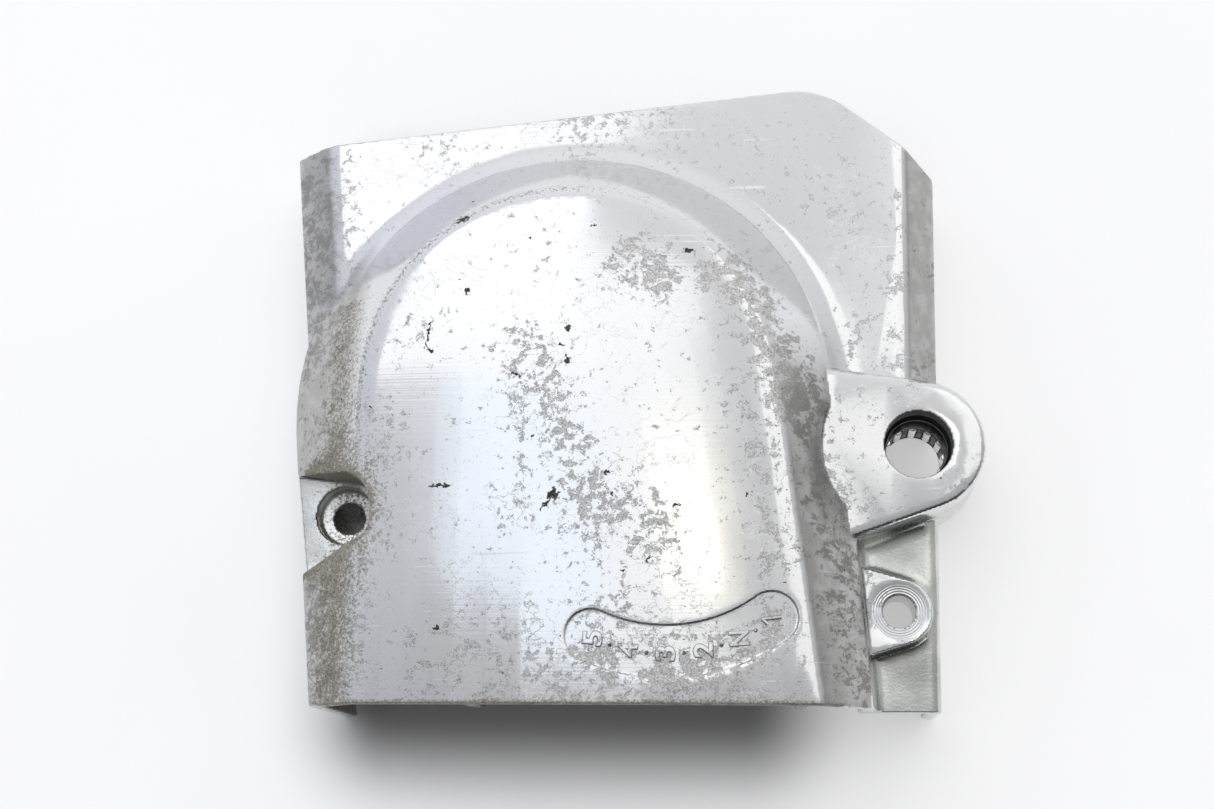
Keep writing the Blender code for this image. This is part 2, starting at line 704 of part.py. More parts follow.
def dust_seal():
    top = seal_top()
    bottom = top - SEAL_LENGTH
    outer = SEAT_RADIUS - FIT_GAP
    profile = [
        (outer, bottom),
        (outer, top),
        (SEAL_MOUTH_RADIUS, top),
        (SEAL_BORE_RADIUS + SEAL_LIP_CHAMFER, top - SEAL_LIP_LENGTH / 2),
        (SEAL_BORE_RADIUS, top - SEAL_LIP_LENGTH),
        (SEAL_BODY_RADIUS, top - 2 * SEAL_LIP_LENGTH),
        (SEAL_BODY_RADIUS, bottom),
    ]
    seal = revolve("shift_shaft_dust_seal", profile, CIRCLE_STEPS)
    seal.data.materials.append(material("seal_rubber", (0.02, 0.02, 0.02), 0.6, 0.0))
    return seal


def bearing_cup():
    bottom = cup_bottom()
    top = bottom + CUP_LENGTH
    outer = SEAT_RADIUS - FIT_GAP
    track = cup_track_radius()
    profile = [
        (outer, bottom),
        (outer, top),
        (CUP_LIP_RADIUS, top),
        (CUP_LIP_RADIUS, top - CUP_WALL),
        (track, top - CUP_WALL),
        (track, bottom + CUP_WALL),
        (CUP_LIP_RADIUS, bottom + CUP_WALL),
        (CUP_LIP_RADIUS, bottom),
    ]
    cup = revolve("needle_bearing_cup", profile, CIRCLE_STEPS)
    cup.data.materials.append(material("bearing_steel", (0.42, 0.41, 0.40), 0.3, 1.0))
    return cup


def cage_half_length():
    return ROLLER_LENGTH / 2 + RUNNING_GAP + CAGE_RIM_LENGTH


def roller_centre_height():
    return cup_bottom() + CUP_LENGTH / 2


def roller_turns():
    return [2 * math.pi * i / ROLLER_COUNT for i in range(ROLLER_COUNT)]


def bearing_cage():
    """Thin sleeve with a window for each roller."""
    middle = roller_centre_height()
    outer = CAGE_INNER_RADIUS + CAGE_WALL
    half = cage_half_length()
    profile = [(CAGE_INNER_RADIUS, middle - half), (outer, middle - half), (outer, middle + half)]
    profile.append((CAGE_INNER_RADIUS, middle + half))
    cage = revolve("needle_bearing_cage", profile, CIRCLE_STEPS)
    half_width = ROLLER_RADIUS + RUNNING_GAP
    half_length = ROLLER_LENGTH / 2 + RUNNING_GAP
    near, far = CAGE_INNER_RADIUS - ROLLER_RADIUS, outer + ROLLER_RADIUS
    sides = ((near, -half_width), (far, -half_width), (far, half_width), (near, half_width))
    plan = [Vector(side) for side in sides]
    for turn in roller_turns():
        outline = [BORE_CENTRE + Matrix.Rotation(turn, 2) @ point for point in plan]
        cut(cage, prism("window", outline, middle - half_length, middle + half_length))
    cage.data.materials.clear()
    cage.data.materials.append(material("cage_steel", (0.20, 0.20, 0.20), 0.4, 1.0))
    return cage


def rollers():
    steel = material("roller_steel", (0.75, 0.75, 0.76), 0.15, 1.0)
    half = ROLLER_LENGTH / 2
    origin = Vector((0, 0))
    made = []
    for i, turn in enumerate(roller_turns()):
        place = BORE_CENTRE + roller_circle_radius() * Vector((math.cos(turn), math.sin(turn)))
        section = circle(origin, ROLLER_RADIUS, ROLLER_STEPS)
        roller = prism(f"needle_roller_{i + 1:02d}", section, -half, half)
        roller.location = (place.x, place.y, roller_centre_height())
        roller.data.materials.append(steel)
        made.append(roller)
    return made


def centre_on_box(objects, carrier):
    """Move everything so that the origin is under the middle of the carrier's box."""
    xs = [corner.co.x for corner in carrier.data.vertices]
    ys = [corner.co.y for corner in carrier.data.vertices]
    shift = Vector((-(min(xs) + max(xs)) / 2, -(min(ys) + max(ys)) / 2, 0))
    for obj in objects:
        obj.location += shift


def shade(objects):
    for obj in objects:
        obj.data.shade_smooth()
        obj.data.set_sharp_from_angle(angle=SHARP_ANGLE)


def main():
    clear_scene()
    cover = casting()
    pieces = [cover, dust_seal(), bearing_cup(), bearing_cage(), *rollers()]
    centre_on_box(pieces, cover)
    shade(pieces)


main()
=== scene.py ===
# %% [markdown]
# # Motorcycle sprocket cover
# A die-cast aluminium shell that once hid a motorcycle's front sprocket. It was polished, brushed along its
# length, and has since gone dull in grey patches. Beside the dome sits the shift shaft's bore, with a rubber
# seal and a needle bearing.
#
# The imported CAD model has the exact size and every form. This lesson turns it into a finished picture: a
# finer skin for the casting, worn metal finishes, raised gear numbers, and the light of a plain studio.

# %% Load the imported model
import math

import bmesh
import bpy
import numpy as np
from mathutils import Matrix, Vector
from mathutils.bvhtree import BVHTree


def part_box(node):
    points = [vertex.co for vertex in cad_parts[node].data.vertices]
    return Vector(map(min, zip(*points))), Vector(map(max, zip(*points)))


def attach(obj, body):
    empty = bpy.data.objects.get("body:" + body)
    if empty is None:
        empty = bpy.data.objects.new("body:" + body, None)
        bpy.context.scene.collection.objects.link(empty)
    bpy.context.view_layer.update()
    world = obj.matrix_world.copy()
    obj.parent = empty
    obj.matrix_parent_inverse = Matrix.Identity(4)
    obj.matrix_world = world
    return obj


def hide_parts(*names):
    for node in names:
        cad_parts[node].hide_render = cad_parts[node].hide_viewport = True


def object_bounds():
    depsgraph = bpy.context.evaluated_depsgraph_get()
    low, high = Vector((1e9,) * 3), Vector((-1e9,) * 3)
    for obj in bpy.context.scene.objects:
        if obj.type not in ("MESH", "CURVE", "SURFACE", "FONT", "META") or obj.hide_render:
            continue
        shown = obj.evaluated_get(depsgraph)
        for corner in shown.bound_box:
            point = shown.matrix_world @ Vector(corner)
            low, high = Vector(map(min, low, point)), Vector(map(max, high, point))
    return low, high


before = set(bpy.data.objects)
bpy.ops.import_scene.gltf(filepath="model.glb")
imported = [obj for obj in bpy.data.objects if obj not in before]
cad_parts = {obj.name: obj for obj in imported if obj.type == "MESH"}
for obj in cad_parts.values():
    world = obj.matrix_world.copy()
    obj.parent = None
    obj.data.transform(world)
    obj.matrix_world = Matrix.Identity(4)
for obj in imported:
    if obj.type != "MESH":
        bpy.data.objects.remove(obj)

MM = 0.001
cad_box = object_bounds()
print("pieces in the model:", len(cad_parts))
print("size in mm:", [round(side / MM, 1) for side in cad_box[1] - cad_box[0]])

# %% [markdown]
# ## The camera
# The photograph looks down on the cover from in front of it. Lines that are upright on the real cover run
# together at one point below the picture, and that point gives the tilt. The rest is one focal length and
# one place.

# %% Camera at the photograph's angle
PICTURE = (1214, 809)
FOCAL_PIXELS = 1905
UPRIGHTS_MEET = (772, 836)
CAMERA_PLACE = Vector((0.03105, -0.09571, 0.43913))
FLOOR_TURN = math.radians(0.5)
SENSOR_WIDTH = 36

to_meeting_point = (UPRIGHTS_MEET[0] - PICTURE[0] / 2, UPRIGHTS_MEET[1] - PICTURE[1] / 2, FOCAL_PIXELS)
down = Vector(to_meeting_point).normalized()
across = (Vector((1, 0, 0)) - down.x * down).normalized()
away = -down.cross(across)
floor_x = math.cos(FLOOR_TURN) * across - math.sin(FLOOR_TURN) * away
floor_y = math.sin(FLOOR_TURN) * across + math.cos(FLOOR_TURN) * away
axes = [Vector((floor_x[i], floor_y[i], -down[i])) for i in range(3)]
camera_turn = Matrix((axes[0], -axes[1], -axes[2])).transposed().to_4x4()

camera = bpy.data.objects.new("camera", bpy.data.cameras.new("camera"))
camera.data.sensor_width = SENSOR_WIDTH
camera.data.lens = SENSOR_WIDTH * FOCAL_PIXELS / PICTURE[0]
camera.data.clip_start = 0.01
camera.matrix_world = Matrix.Translation(CAMERA_PLACE) @ camera_turn
bpy.context.collection.objects.link(camera)
bpy.context.scene.camera = camera
bpy.context.scene.view_settings.view_transform = "Standard"
print("lens in mm:", round(camera.data.lens, 1))
print("tilt from straight down:", round(math.degrees(math.acos(down.z)), 1), "degrees")

# %% [markdown]
# ## Tools for nodes
# Every finish here is a small tree of nodes. Short helpers make such trees readable: one adds a node and
# sets its sockets, one makes the whole material from a function that fills its tree, and the others are the
# few kinds of node that come back in each finish.

# %% Helpers that build node trees
def add_node(tree, kind, inputs=None, **settings):
    node = tree.nodes.new(kind)
    for name, value in settings.items():
        setattr(node, name, value)
    for name, value in (inputs or {}).items():
        if isinstance(value, bpy.types.NodeSocket):
            tree.links.new(value, node.inputs[name])
        else:
            node.inputs[name].default_value = value
    return node


def make_material(name, fill):
    material = bpy.data.materials.new(name)
    material.use_nodes = True
    tree = material.node_tree
    fill(tree, tree.nodes["Principled BSDF"])
    return material


def maths(tree, operation, a, b=0.5, clamp=False):
    return add_node(tree, "ShaderNodeMath", {0: a, 1: b}, operation=operation, use_clamp=clamp).outputs[0]


def vector_maths(tree, operation, a, b):
    return add_node(tree, "ShaderNodeVectorMath", {0: a, 1: b}, operation=operation).outputs[0]


def length_of(tree, vector):
    return add_node(tree, "ShaderNodeVectorMath", {0: vector}, operation="LENGTH").outputs["Value"]


def in_range(tree, value, low, high, to_low=0.0, to_high=1.0):
    inputs = {"Value": value, "From Min": low, "From Max": high, "To Min": to_low, "To Max": to_high}
    return add_node(tree, "ShaderNodeMapRange", inputs, interpolation_type="SMOOTHSTEP").outputs[0]


print("number helpers ready")

# %% Helpers for colours, noise and bumps
def blend_colour(tree, share, first, second):
    node = add_node(tree, "ShaderNodeMix", data_type="RGBA")
    for socket, value in ((node.inputs[0], share), (node.inputs[6], first), (node.inputs[7], second)):
        if isinstance(value, bpy.types.NodeSocket):
            tree.links.new(value, socket)
        else:
            socket.default_value = value
    return node.outputs[2]


def place_on(tree, scale=(1, 1, 1), turned=0.0):
    """Object coordinates, turned about the upright axis and scaled."""
    where = add_node(tree, "ShaderNodeTexCoord").outputs["Object"]
    inputs = {"Vector": where, "Scale": scale, "Rotation": (0, 0, turned)}
    return add_node(tree, "ShaderNodeMapping", inputs).outputs[0]


def noise(tree, where, scale, detail=2.0, roughness=0.5, distortion=0.0):
    inputs = {"Vector": where, "Scale": scale, "Detail": detail}
    inputs.update({"Roughness": roughness, "Distortion": distortion})
    return add_node(tree, "ShaderNodeTexNoise", inputs).outputs["Fac"]


def bump(tree, height, distance, strength=1.0, below=None):
    inputs = {"Height": height, "Distance": distance, "Strength": strength}
    if below:
        inputs["Normal"] = below
    return add_node(tree, "ShaderNodeBump", inputs).outputs[0]


print("colour helpers ready")

# %% [markdown]
# ## The table and the light
# The cover lies on a white table top under soft light from above and behind. Polished metal shows what is
# round it, so the lights are large panels: their reflections make the bright areas on the crown.
#
# The table is whiter where the camera and the metal see it than its light alone makes it. Under the cover,
# up to its open front edge, that lift fades out and a painted shadow darkens the table's colour, so the
# shadow there stays deep.

# %% Table top
FLOOR_SIZE = 1.4
TABLE_LIFT = 0.43
LIFT_FADE = (0.002, 0.030)
PAINTED_SHADOW_MIDDLE = (-0.0165, -0.010)
PAINTED_SHADOW_HALF = (0.041, 0.058)
PAINTED_SHADOW_FADE = (0.0, 0.022)


def outside_cover(tree):
    """How far a point of the table lies outside a box under the cover."""
    where = add_node(tree, "ShaderNodeSeparateXYZ", {0: place_on(tree)}).outputs
    sides = []
    for axis, middle, half in zip("XY", PAINTED_SHADOW_MIDDLE, PAINTED_SHADOW_HALF):
        from_middle = maths(tree, "ABSOLUTE", maths(tree, "SUBTRACT", where[axis], middle))
        past = maths(tree, "MAXIMUM", maths(tree, "SUBTRACT", from_middle, half), 0.0)
        sides.append(maths(tree, "POWER", past, 2.0))
    return maths(tree, "SQRT", maths(tree, "ADD", *sides))


def fill_table(tree, shader):
    smear = in_range(tree, noise(tree, place_on(tree), 6, detail=4), 0.3, 0.7)
    colour = blend_colour(tree, smear, (0.84, 0.84, 0.84, 1), (0.88, 0.88, 0.875, 1))
    outside = outside_cover(tree)
    # Painted shadow: the table's colour is dark grey under the cover and just before its front edge.
    colour = blend_colour(tree, in_range(tree, outside, *PAINTED_SHADOW_FADE), (0.42, 0.42, 0.41, 1), colour)
    tree.links.new(colour, shader.inputs["Base Color"])
    shader.inputs["Roughness"].default_value = 0.6
    shader.inputs["Specular IOR Level"].default_value = 0.2
    rays = add_node(tree, "ShaderNodeLightPath").outputs
    seen = maths(tree, "MAXIMUM", rays["Is Camera Ray"], rays["Is Glossy Ray"])
    seen = maths(tree, "MAXIMUM", seen, rays["Is Transmission Ray"])
    shader.inputs["Emission Color"].default_value = (1, 1, 1, 1)
    # The lift also fades out under the cover, which deepens the painted shadow.
    lift = in_range(tree, outside, *LIFT_FADE, 0.0, TABLE_LIFT)
    tree.links.new(maths(tree, "MULTIPLY", seen, lift), shader.inputs["Emission Strength"])


floor_mesh = bmesh.new()
bmesh.ops.create_grid(floor_mesh, x_segments=1, y_segments=1, size=FLOOR_SIZE / 2)
table = bpy.data.objects.new("table_top", bpy.data.meshes.new("table_top"))
floor_mesh.to_mesh(table.data)
floor_mesh.free()
table.data.materials.append(make_material("white_table", fill_table))
bpy.context.collection.objects.link(table)
print("table in m:", FLOOR_SIZE)

# %% [markdown]
# ## Light panels and room
# The bright areas on the photographed crown have clear borders and slightly different colours: a window, a
# bluer patch, a long white panel, a small warm spot and a large panel on the right. Each is a lamp of its
# own. Its place is written as a slope seen from the cover, because that is what a reflection shows. The
# warm spot hangs lower than the rest, because it would be hidden by the long panel in the same plane.

# %% Light panels
PANEL_HEIGHT = 2.5
SPOT_HEIGHT = 2.2


def add_panel(name, towards, spread, brightness, colour=(1, 1, 1), height=PANEL_HEIGHT):
    """Lamp overhead. towards and spread are slopes: how far along X and Y for each metre up."""
    light = bpy.data.lights.new(name, "AREA")
    light.shape = "RECTANGLE"
    light.size, light.size_y = (height * share for share in spread)
    light.energy = brightness * math.pi * light.size * light.size_y
    light.color = colour
    panel = bpy.data.objects.new(name, light)
    panel.location = height * Vector((*towards, 1))
    bpy.context.collection.objects.link(panel)


add_panel("window", (-0.265, 0.455), (0.37, 0.41), 0.56)
add_panel("blue_window", (-0.175, 0.15), (0.19, 0.20), 0.62, (0.72, 0.85, 1.0))
add_panel("main_panel", (-0.005, 0.235), (0.15, 0.37), 0.50, (1.0, 1.0, 0.98))
add_panel("warm_spot", (0.0375, 0.155), (0.075, 0.10), 0.66, (1.0, 0.94, 0.60), height=SPOT_HEIGHT)
add_panel("right_panel", (0.475, 0.325), (0.57, 0.60), 0.48, (1.0, 1.0, 0.93))

# %% A room that is darker in front
FRONT_LEVEL, REAR_LEVEL = 0.05, 1.0
DARKER_RIGHT = 0.10
BRIGHTER_UP = (0.12, 0.05)
UP_FADE = (-0.6, 0.6)
BLUE_FADE = (-0.55, -0.05)
BLUE_LEFT, WHITE_RIGHT = (0.90, 0.92, 1.0, 1), (0.985, 0.985, 1.0, 1)

world = bpy.data.worlds.new("studio")
world.use_nodes = True
sky = world.node_tree
seen_from = add_node(sky, "ShaderNodeTexCoord").outputs["Generated"]
direction = add_node(sky, "ShaderNodeSeparateXYZ", {0: seen_from}).outputs
level = in_range(sky, direction["Y"], -1.0, 1.0, FRONT_LEVEL, REAR_LEVEL)
level = maths(sky, "SUBTRACT", level, maths(sky, "MULTIPLY", direction["X"], DARKER_RIGHT))
upwards = maths(sky, "MAXIMUM", direction["Z"], 0.0)
for_each_up = in_range(sky, direction["Y"], *UP_FADE, *BRIGHTER_UP)
level = maths(sky, "ADD", level, maths(sky, "MULTIPLY", upwards, for_each_up))
room_colour = blend_colour(sky, in_range(sky, direction["X"], *BLUE_FADE), BLUE_LEFT, WHITE_RIGHT)
sky.links.new(room_colour, sky.nodes["Background"].inputs["Color"])
sky.links.new(level, sky.nodes["Background"].inputs["Strength"])
bpy.context.scene.world = world
print("room from", FRONT_LEVEL, "in front to", REAR_LEVEL, "behind")

# %% [markdown]
# ## The casting's skin
# The CAD casting is right in form but made of long flat facets, which a polished surface shows. A voxel
# remesh turns a copy of it into small even faces, and a little smoothing then rounds the edges as casting
# and polishing do. Subdividing the CAD mesh would keep its facets, so it isn't used.

# %% Helpers for new pieces
JOIN = 0.001 * MM


def merged_copy(node):
    """A copy of a CAD node's mesh with its loose triangles joined."""
    copy = bmesh.new()
    copy.from_mesh(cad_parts[node].data)
    bmesh.ops.remove_doubles(copy, verts=copy.verts, dist=JOIN)
    return copy


def new_piece(name, mesh_builder, body):
    mesh = bpy.data.meshes.new(name)
    mesh_builder.to_mesh(mesh)
    mesh_builder.free()
    piece = bpy.data.objects.new(name, mesh)
    bpy.context.collection.objects.link(piece)
    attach(piece, body)
    return piece


def apply_modifiers(piece):
    graph = bpy.context.evaluated_depsgraph_get()
    mesh = bpy.data.meshes.new_from_object(piece.evaluated_get(graph))
    piece.modifiers.clear()
    piece.data = mesh


def triangles_in(mesh):
    return sum(len(face.vertices) - 2 for face in mesh.polygons)


print("piece helpers ready")

# %% Finer skin for the casting
VOXEL = 0.36 * MM
SMOOTHING_STEPS = 5

skin = new_piece("casting_skin", merged_copy("cover_casting"), "casting")
remesh = skin.modifiers.new("even_faces", "REMESH")
remesh.mode = "VOXEL"
remesh.voxel_size = VOXEL
smooth = skin.modifiers.new("soft_edges", "SMOOTH")
smooth.factor = 0.5
smooth.iterations = SMOOTHING_STEPS
apply_modifiers(skin)
print("skin faces:", len(skin.data.polygons))

# %% [markdown]
# ## The recess round the gear numbers
# The remesh has blurred the shallow kidney-shaped recess near the front. Its outline is simple to describe,
# as all the points at one distance from an arc. So a smooth surface is fitted to the crown round it, and the
# points inside are laid on that surface, lowered by the recess's depth, with a crisp edge.

# %% Distance from the kidney
KIDNEY_CENTRE = Vector((9.63, -21.63)) * MM
KIDNEY_RADIUS = 37.35 * MM
KIDNEY_HALF_WIDTH = 5.45 * MM
KIDNEY_TURNS = (math.radians(-114.4), math.radians(-54.1))
CROWN_LOWEST = 45.2 * MM
KEPT_EDGE = 0.9 * MM


def kidney_distance(x, y):
    """How far points lie outside the kidney's outline, less than 0 inside."""
    turns = np.clip(np.arctan2(y - KIDNEY_CENTRE.y, x - KIDNEY_CENTRE.x), *KIDNEY_TURNS)
    near_x = KIDNEY_CENTRE.x + KIDNEY_RADIUS * np.cos(turns)
    near_y = KIDNEY_CENTRE.y + KIDNEY_RADIUS * np.sin(turns)
    return np.hypot(x - near_x, y - near_y) - KIDNEY_HALF_WIDTH


def surface_terms(x, y):
    return np.stack([np.ones_like(x), x, y, x * x, x * y, y * y, x ** 3, x * x * y], axis=1)


def on_edge(points):
    """Which points lie on the kidney's edge, where no face may be lost."""
    away = kidney_distance(points[:, 0], points[:, 1])
    return (points[:, 2] > CROWN_LOWEST) & (np.abs(away) < KEPT_EDGE)


def coordinates(mesh_builder):
    return np.array([vertex.co for vertex in mesh_builder.verts])


print("kidney in mm:", round(2 * KIDNEY_HALF_WIDTH / MM, 1), "wide")

# %% Smooth surface fitted round the kidney
FIT_RING = (1.2 * MM, 4 * MM)
FIT_FRONT = -66 * MM
NEARLY_LEVEL = 0.99

crown = bmesh.new()
crown.from_mesh(skin.data)
points = coordinates(crown)
away_from_kidney = kidney_distance(points[:, 0], points[:, 1])
on_crown = points[:, 2] > CROWN_LOWEST
ring = on_crown & (away_from_kidney > FIT_RING[0]) & (away_from_kidney < FIT_RING[1])
ring &= points[:, 1] > FIT_FRONT
ring &= np.array([vertex.normal.z > NEARLY_LEVEL for vertex in crown.verts])
crown_fit = np.linalg.lstsq(surface_terms(*points[ring, :2].T), points[ring, 2], rcond=None)[0]
print("points used for the fit:", int(ring.sum()))

# %% Crisp kidney recess
KIDNEY_DEPTH = 0.4 * MM
EDGE_WIDTH = 0.45 * MM
FINER_BAND = 1.1 * MM
RECESS_REACH = 1.2 * MM

near_outline = on_crown & (np.abs(away_from_kidney) < FINER_BAND)
edges = [edge for edge in crown.edges if all(near_outline[vertex.index] for vertex in edge.verts)]
bmesh.ops.subdivide_edges(crown, edges=edges, cuts=1, use_grid_fill=True)
points = coordinates(crown)
depth_share = np.clip(-kidney_distance(points[:, 0], points[:, 1]) / EDGE_WIDTH + 0.5, 0, 1)
depth_share = depth_share ** 2 * (3 - 2 * depth_share)
level_height = surface_terms(points[:, 0], points[:, 1]) @ crown_fit
inside = (points[:, 2] > CROWN_LOWEST) & (kidney_distance(points[:, 0], points[:, 1]) < RECESS_REACH)
crown.verts.ensure_lookup_table()
for i in np.flatnonzero(inside):
    crown.verts[i].co.z = level_height[i] - KIDNEY_DEPTH * depth_share[i]
crown.to_mesh(skin.data)
crown.free()
print("recess points:", int(inside.sum()))

# %% [markdown]
# ## Fewer faces and even shading
# The remesh gives far more faces than a flat wall needs. Decimate takes them from the flat parts, and a
# vertex group keeps it off the kidney's edge. The skin is then fitted into the CAD model's box.
#
# What is left are uneven triangles, whose slightly wrong normals show as ripples in a mirror-like finish.
# Averaging each normal with its neighbours', but not across an edge, calms the ripples and moves no point.

# %% Fewer faces
MOST_TRIANGLES = 190000

may_thin = skin.vertex_groups.new(name="may_thin")
may_thin.add(np.flatnonzero(~on_edge(points)).tolist(), 1.0, "REPLACE")
thin = skin.modifiers.new("fewer_faces", "DECIMATE")
thin.vertex_group = may_thin.name
thin.ratio = min(1.0, MOST_TRIANGLES / triangles_in(skin.data))
apply_modifiers(skin)


def points_of(mesh):
    points = np.empty(len(mesh.vertices) * 3)
    mesh.vertices.foreach_get("co", points)
    return points.reshape(-1, 3)


points = points_of(skin.data)
points[:, 2] *= cad_box[1].z / points[:, 2].max()
skin.data.vertices.foreach_set("co", np.clip(points, *cad_box).ravel())
skin.data.update()
skin.data.shade_smooth()
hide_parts("cover_casting")
print("skin triangles:", triangles_in(skin.data))

# %% Even shading
EVEN_STEPS = 14
ALIKE = 0.02


def even_normals(mesh):
    """Average each vertex's normal with those of its neighbours that point nearly the same way."""
    normals = np.empty(len(mesh.vertices) * 3)
    mesh.vertices.foreach_get("normal", normals)
    normals = normals.reshape(-1, 3)
    ends = np.empty(len(mesh.edges) * 2, dtype=np.int32)
    mesh.edges.foreach_get("vertices", ends)
    first, second = ends.reshape(-1, 2).T
    for _ in range(EVEN_STEPS):
        unlike = 1 - (normals[first] * normals[second]).sum(axis=1)
        alike = np.exp(-(unlike / ALIKE) ** 2)
        total = normals.copy()
        for axis in range(3):
            total[:, axis] += np.bincount(first, alike * normals[second, axis], len(normals))
            total[:, axis] += np.bincount(second, alike * normals[first, axis], len(normals))
        normals = total / np.linalg.norm(total, axis=1, keepdims=True)
    mesh.normals_split_custom_set_from_vertices(normals.tolist())
    return normals


normals = even_normals(skin.data)
print("normals evened out:", len(normals))

# %% [markdown]
# ## Where the metal is worn
# Five masks are stored on the skin, one value for each vertex: how much of the polish has turned to grey
# corrosion, where brown grime has settled, where a dull film lies on the outer slopes, where the casting was
# never polished, together with its inside and the notch's wall, which are painted dark grey as shade, and
# where the bore's wall above the seal and the foot of each gear number are painted black as shade. Noise in
# the material gives them fine edges, so the masks can be soft and simple. The corroded places are spots at
# measured places: X, Y, reach in mm, and strength.

# %% Corroded places
CORRODED = (
    (4, 24.5, 6, 0.95), (9, 20, 4, 0.6), (22, 22.5, 6, 0.8), (29, 13, 6, 0.9), (34, 3, 6, 0.85),
    (35.8, -6, 5, 0.7), (-21, 5, 5.5, 0.7), (-19.5, -3, 5, 0.6), (-2, -25, 6, 0.6), (4.5, -31, 6, 0.7),
    (7.5, -37, 5, 0.6), (-22, -16, 4, 0.5), (-20, -27, 4, 0.5), (-6.7, -42, 5, 0.6), (-1.8, -48, 5, 0.5),
    (25, -4, 4, 0.6), (28.5, -15, 5, 0.6), (31, -27, 5, 0.65), (33, -40, 5, 0.6), (38, -5, 6, 0.8),
    (43, -22, 7, 0.75), (46, -36, 6, 0.7), (47, -48, 7, 0.7), (50, -64, 6, 0.6), (-35, -61, 9, 0.55),
    (-20, -65, 8, 0.65), (-4, -66, 8, 0.8), (13, -66, 8, 0.8), (29, -66, 8, 0.7), (-4, -57, 5, 0.6),
    (8, -60, 5, 0.55), (17, -60, 5, 0.55), (31, -53, 5, 0.75), (24, -57, 4, 0.5), (-43, 58, 6, 0.5),
    (-9, 63, 9, 0.6), (10, 60, 6, 0.4), (27.5, 53, 6, 0.7), (24, 60, 4, 0.4), (55, 40, 6, 0.6),
    (56, 27, 6, 0.65), (54, 12, 6, 0.6), (60, 2, 5, 0.5), (-72, 47, 9, 0.85), (-72, 30, 9, 0.75),
    (-70, 12, 10, 0.6), (51, -8, 4, 0.6), (49, -17, 4, 0.65), (53, -25, 4, 0.65), (71, -21, 3, 0.4),
    (-66, -10, 8, 0.5), (-64, -47, 8, 0.6), (-64, -60, 8, 0.65), (70, 30, 6, 0.4), (71, 5, 5, 0.4),
    (-52, -30, 6, 0.7), (-57, -45, 7, 0.6), (-56, -62, 7, 0.6), (-52, -12, 7, 0.55), (-45, 8, 5, 0.3),
)
SPOT_SPREAD = 1.2 * MM


def soft_spots(x, y, spots):
    clear = np.ones_like(x)
    for spot_x, spot_y, reach, strength in spots:
        away = np.hypot(x - spot_x * MM, y - spot_y * MM) / (reach * SPOT_SPREAD)
        clear *= 1 - strength * np.exp(-away ** 4)
    return 1 - clear


def store(piece, name, values):
    layer = piece.data.attributes.new(name, "FLOAT", "POINT")
    layer.data.foreach_set("value", values.astype(np.float32))
    print(name, "covers", round(float(values.mean()), 2), "of the vertices")


points = points_of(skin.data)
x, y, z = points.T
upward = normals[:, 2]
store(skin, "corrosion", soft_spots(x, y, CORRODED) * (upward > 0))

# %% Distance from the notch
NOTCH_RIGHT, NOTCH_UPPER, NOTCH_LOWER = -53.47 * MM, -20.83 * MM, -33.73 * MM
UPPER_SLOPE, LOWER_SLOPE = math.radians(7.5), math.radians(21.4)
UPPER_ROUND, LOWER_ROUND = 8 * MM, 4 * MM


def line_mask(distance, width):
    return np.exp(-(distance / width) ** 2)


def ramp(values, start, end):
    """0 up to start and 1 from end on, straight between them. start may be above end."""
    return np.clip((values - start) / (end - start), 0, 1)


def round_corner(first, second, radius):
    outside = (first > -radius) & (second > -radius)
    return np.where(outside, np.hypot(first + radius, second + radius) - radius, np.maximum(first, second))


def notch_distance(x, y):
    """How far points lie outside the outline of the notch round the left screw, less than 0 inside."""
    right = x - NOTCH_RIGHT
    upper = (y - NOTCH_UPPER) * math.cos(UPPER_SLOPE) + right * math.sin(UPPER_SLOPE)
    lower = (NOTCH_LOWER - y) * math.cos(LOWER_SLOPE) + right * math.sin(LOWER_SLOPE)
    return np.maximum(round_corner(right, upper, UPPER_ROUND), round_corner(right, lower, LOWER_ROUND))


print("points over the notch:", int((notch_distance(x, y) < 0).sum()))

# %% Grime in corners
ARCH_CENTRE = Vector((-11.67, -2.73)) * MM
CREASE, CREASE_WIDTH = 44.8 * MM, 1.1 * MM
CREASE_LOWEST = 42 * MM
RIM_OFFSET, RIM_WIDTH, RIM_LOWEST = 0.7 * MM, 1.5 * MM, 30 * MM
FRONT_EDGE, FRONT_WIDTH, FRONT_LOWEST = -69.7 * MM, 0.9 * MM, 41 * MM
LEG_GRIME, LEG_GRIME_WIDTH, LEG_REAR = -61 * MM, 7 * MM, -34 * MM
WALL_GRIME, WALL_GRIME_WIDTH, WALL_REAR = -62 * MM, 6 * MM, 20 * MM

from_arch = np.hypot(x - ARCH_CENTRE.x, y - ARCH_CENTRE.y)
arch_radius = np.where(y > ARCH_CENTRE.y, from_arch, np.abs(x - ARCH_CENTRE.x))
left_side = ramp(x, 20 * MM, -20 * MM)
grime = 0.5 * line_mask(arch_radius - CREASE, CREASE_WIDTH) * left_side * (z > CREASE_LOWEST)
notch_rim = line_mask(notch_distance(x, y) - RIM_OFFSET, RIM_WIDTH) * (z > RIM_LOWEST)
grime = np.maximum(grime, 0.95 * notch_rim)
grime = np.maximum(grime, 0.95 * line_mask(y - FRONT_EDGE, FRONT_WIDTH) * (z > FRONT_LOWEST))
grime = np.maximum(grime, 0.7 * line_mask(x - LEG_GRIME, LEG_GRIME_WIDTH) * (y < LEG_REAR))
beside_dome = (y >= LEG_REAR) & (y < WALL_REAR)
grime = np.maximum(grime, 0.55 * line_mask(x - WALL_GRIME, WALL_GRIME_WIDTH) * beside_dome)
store(skin, "grime", grime)

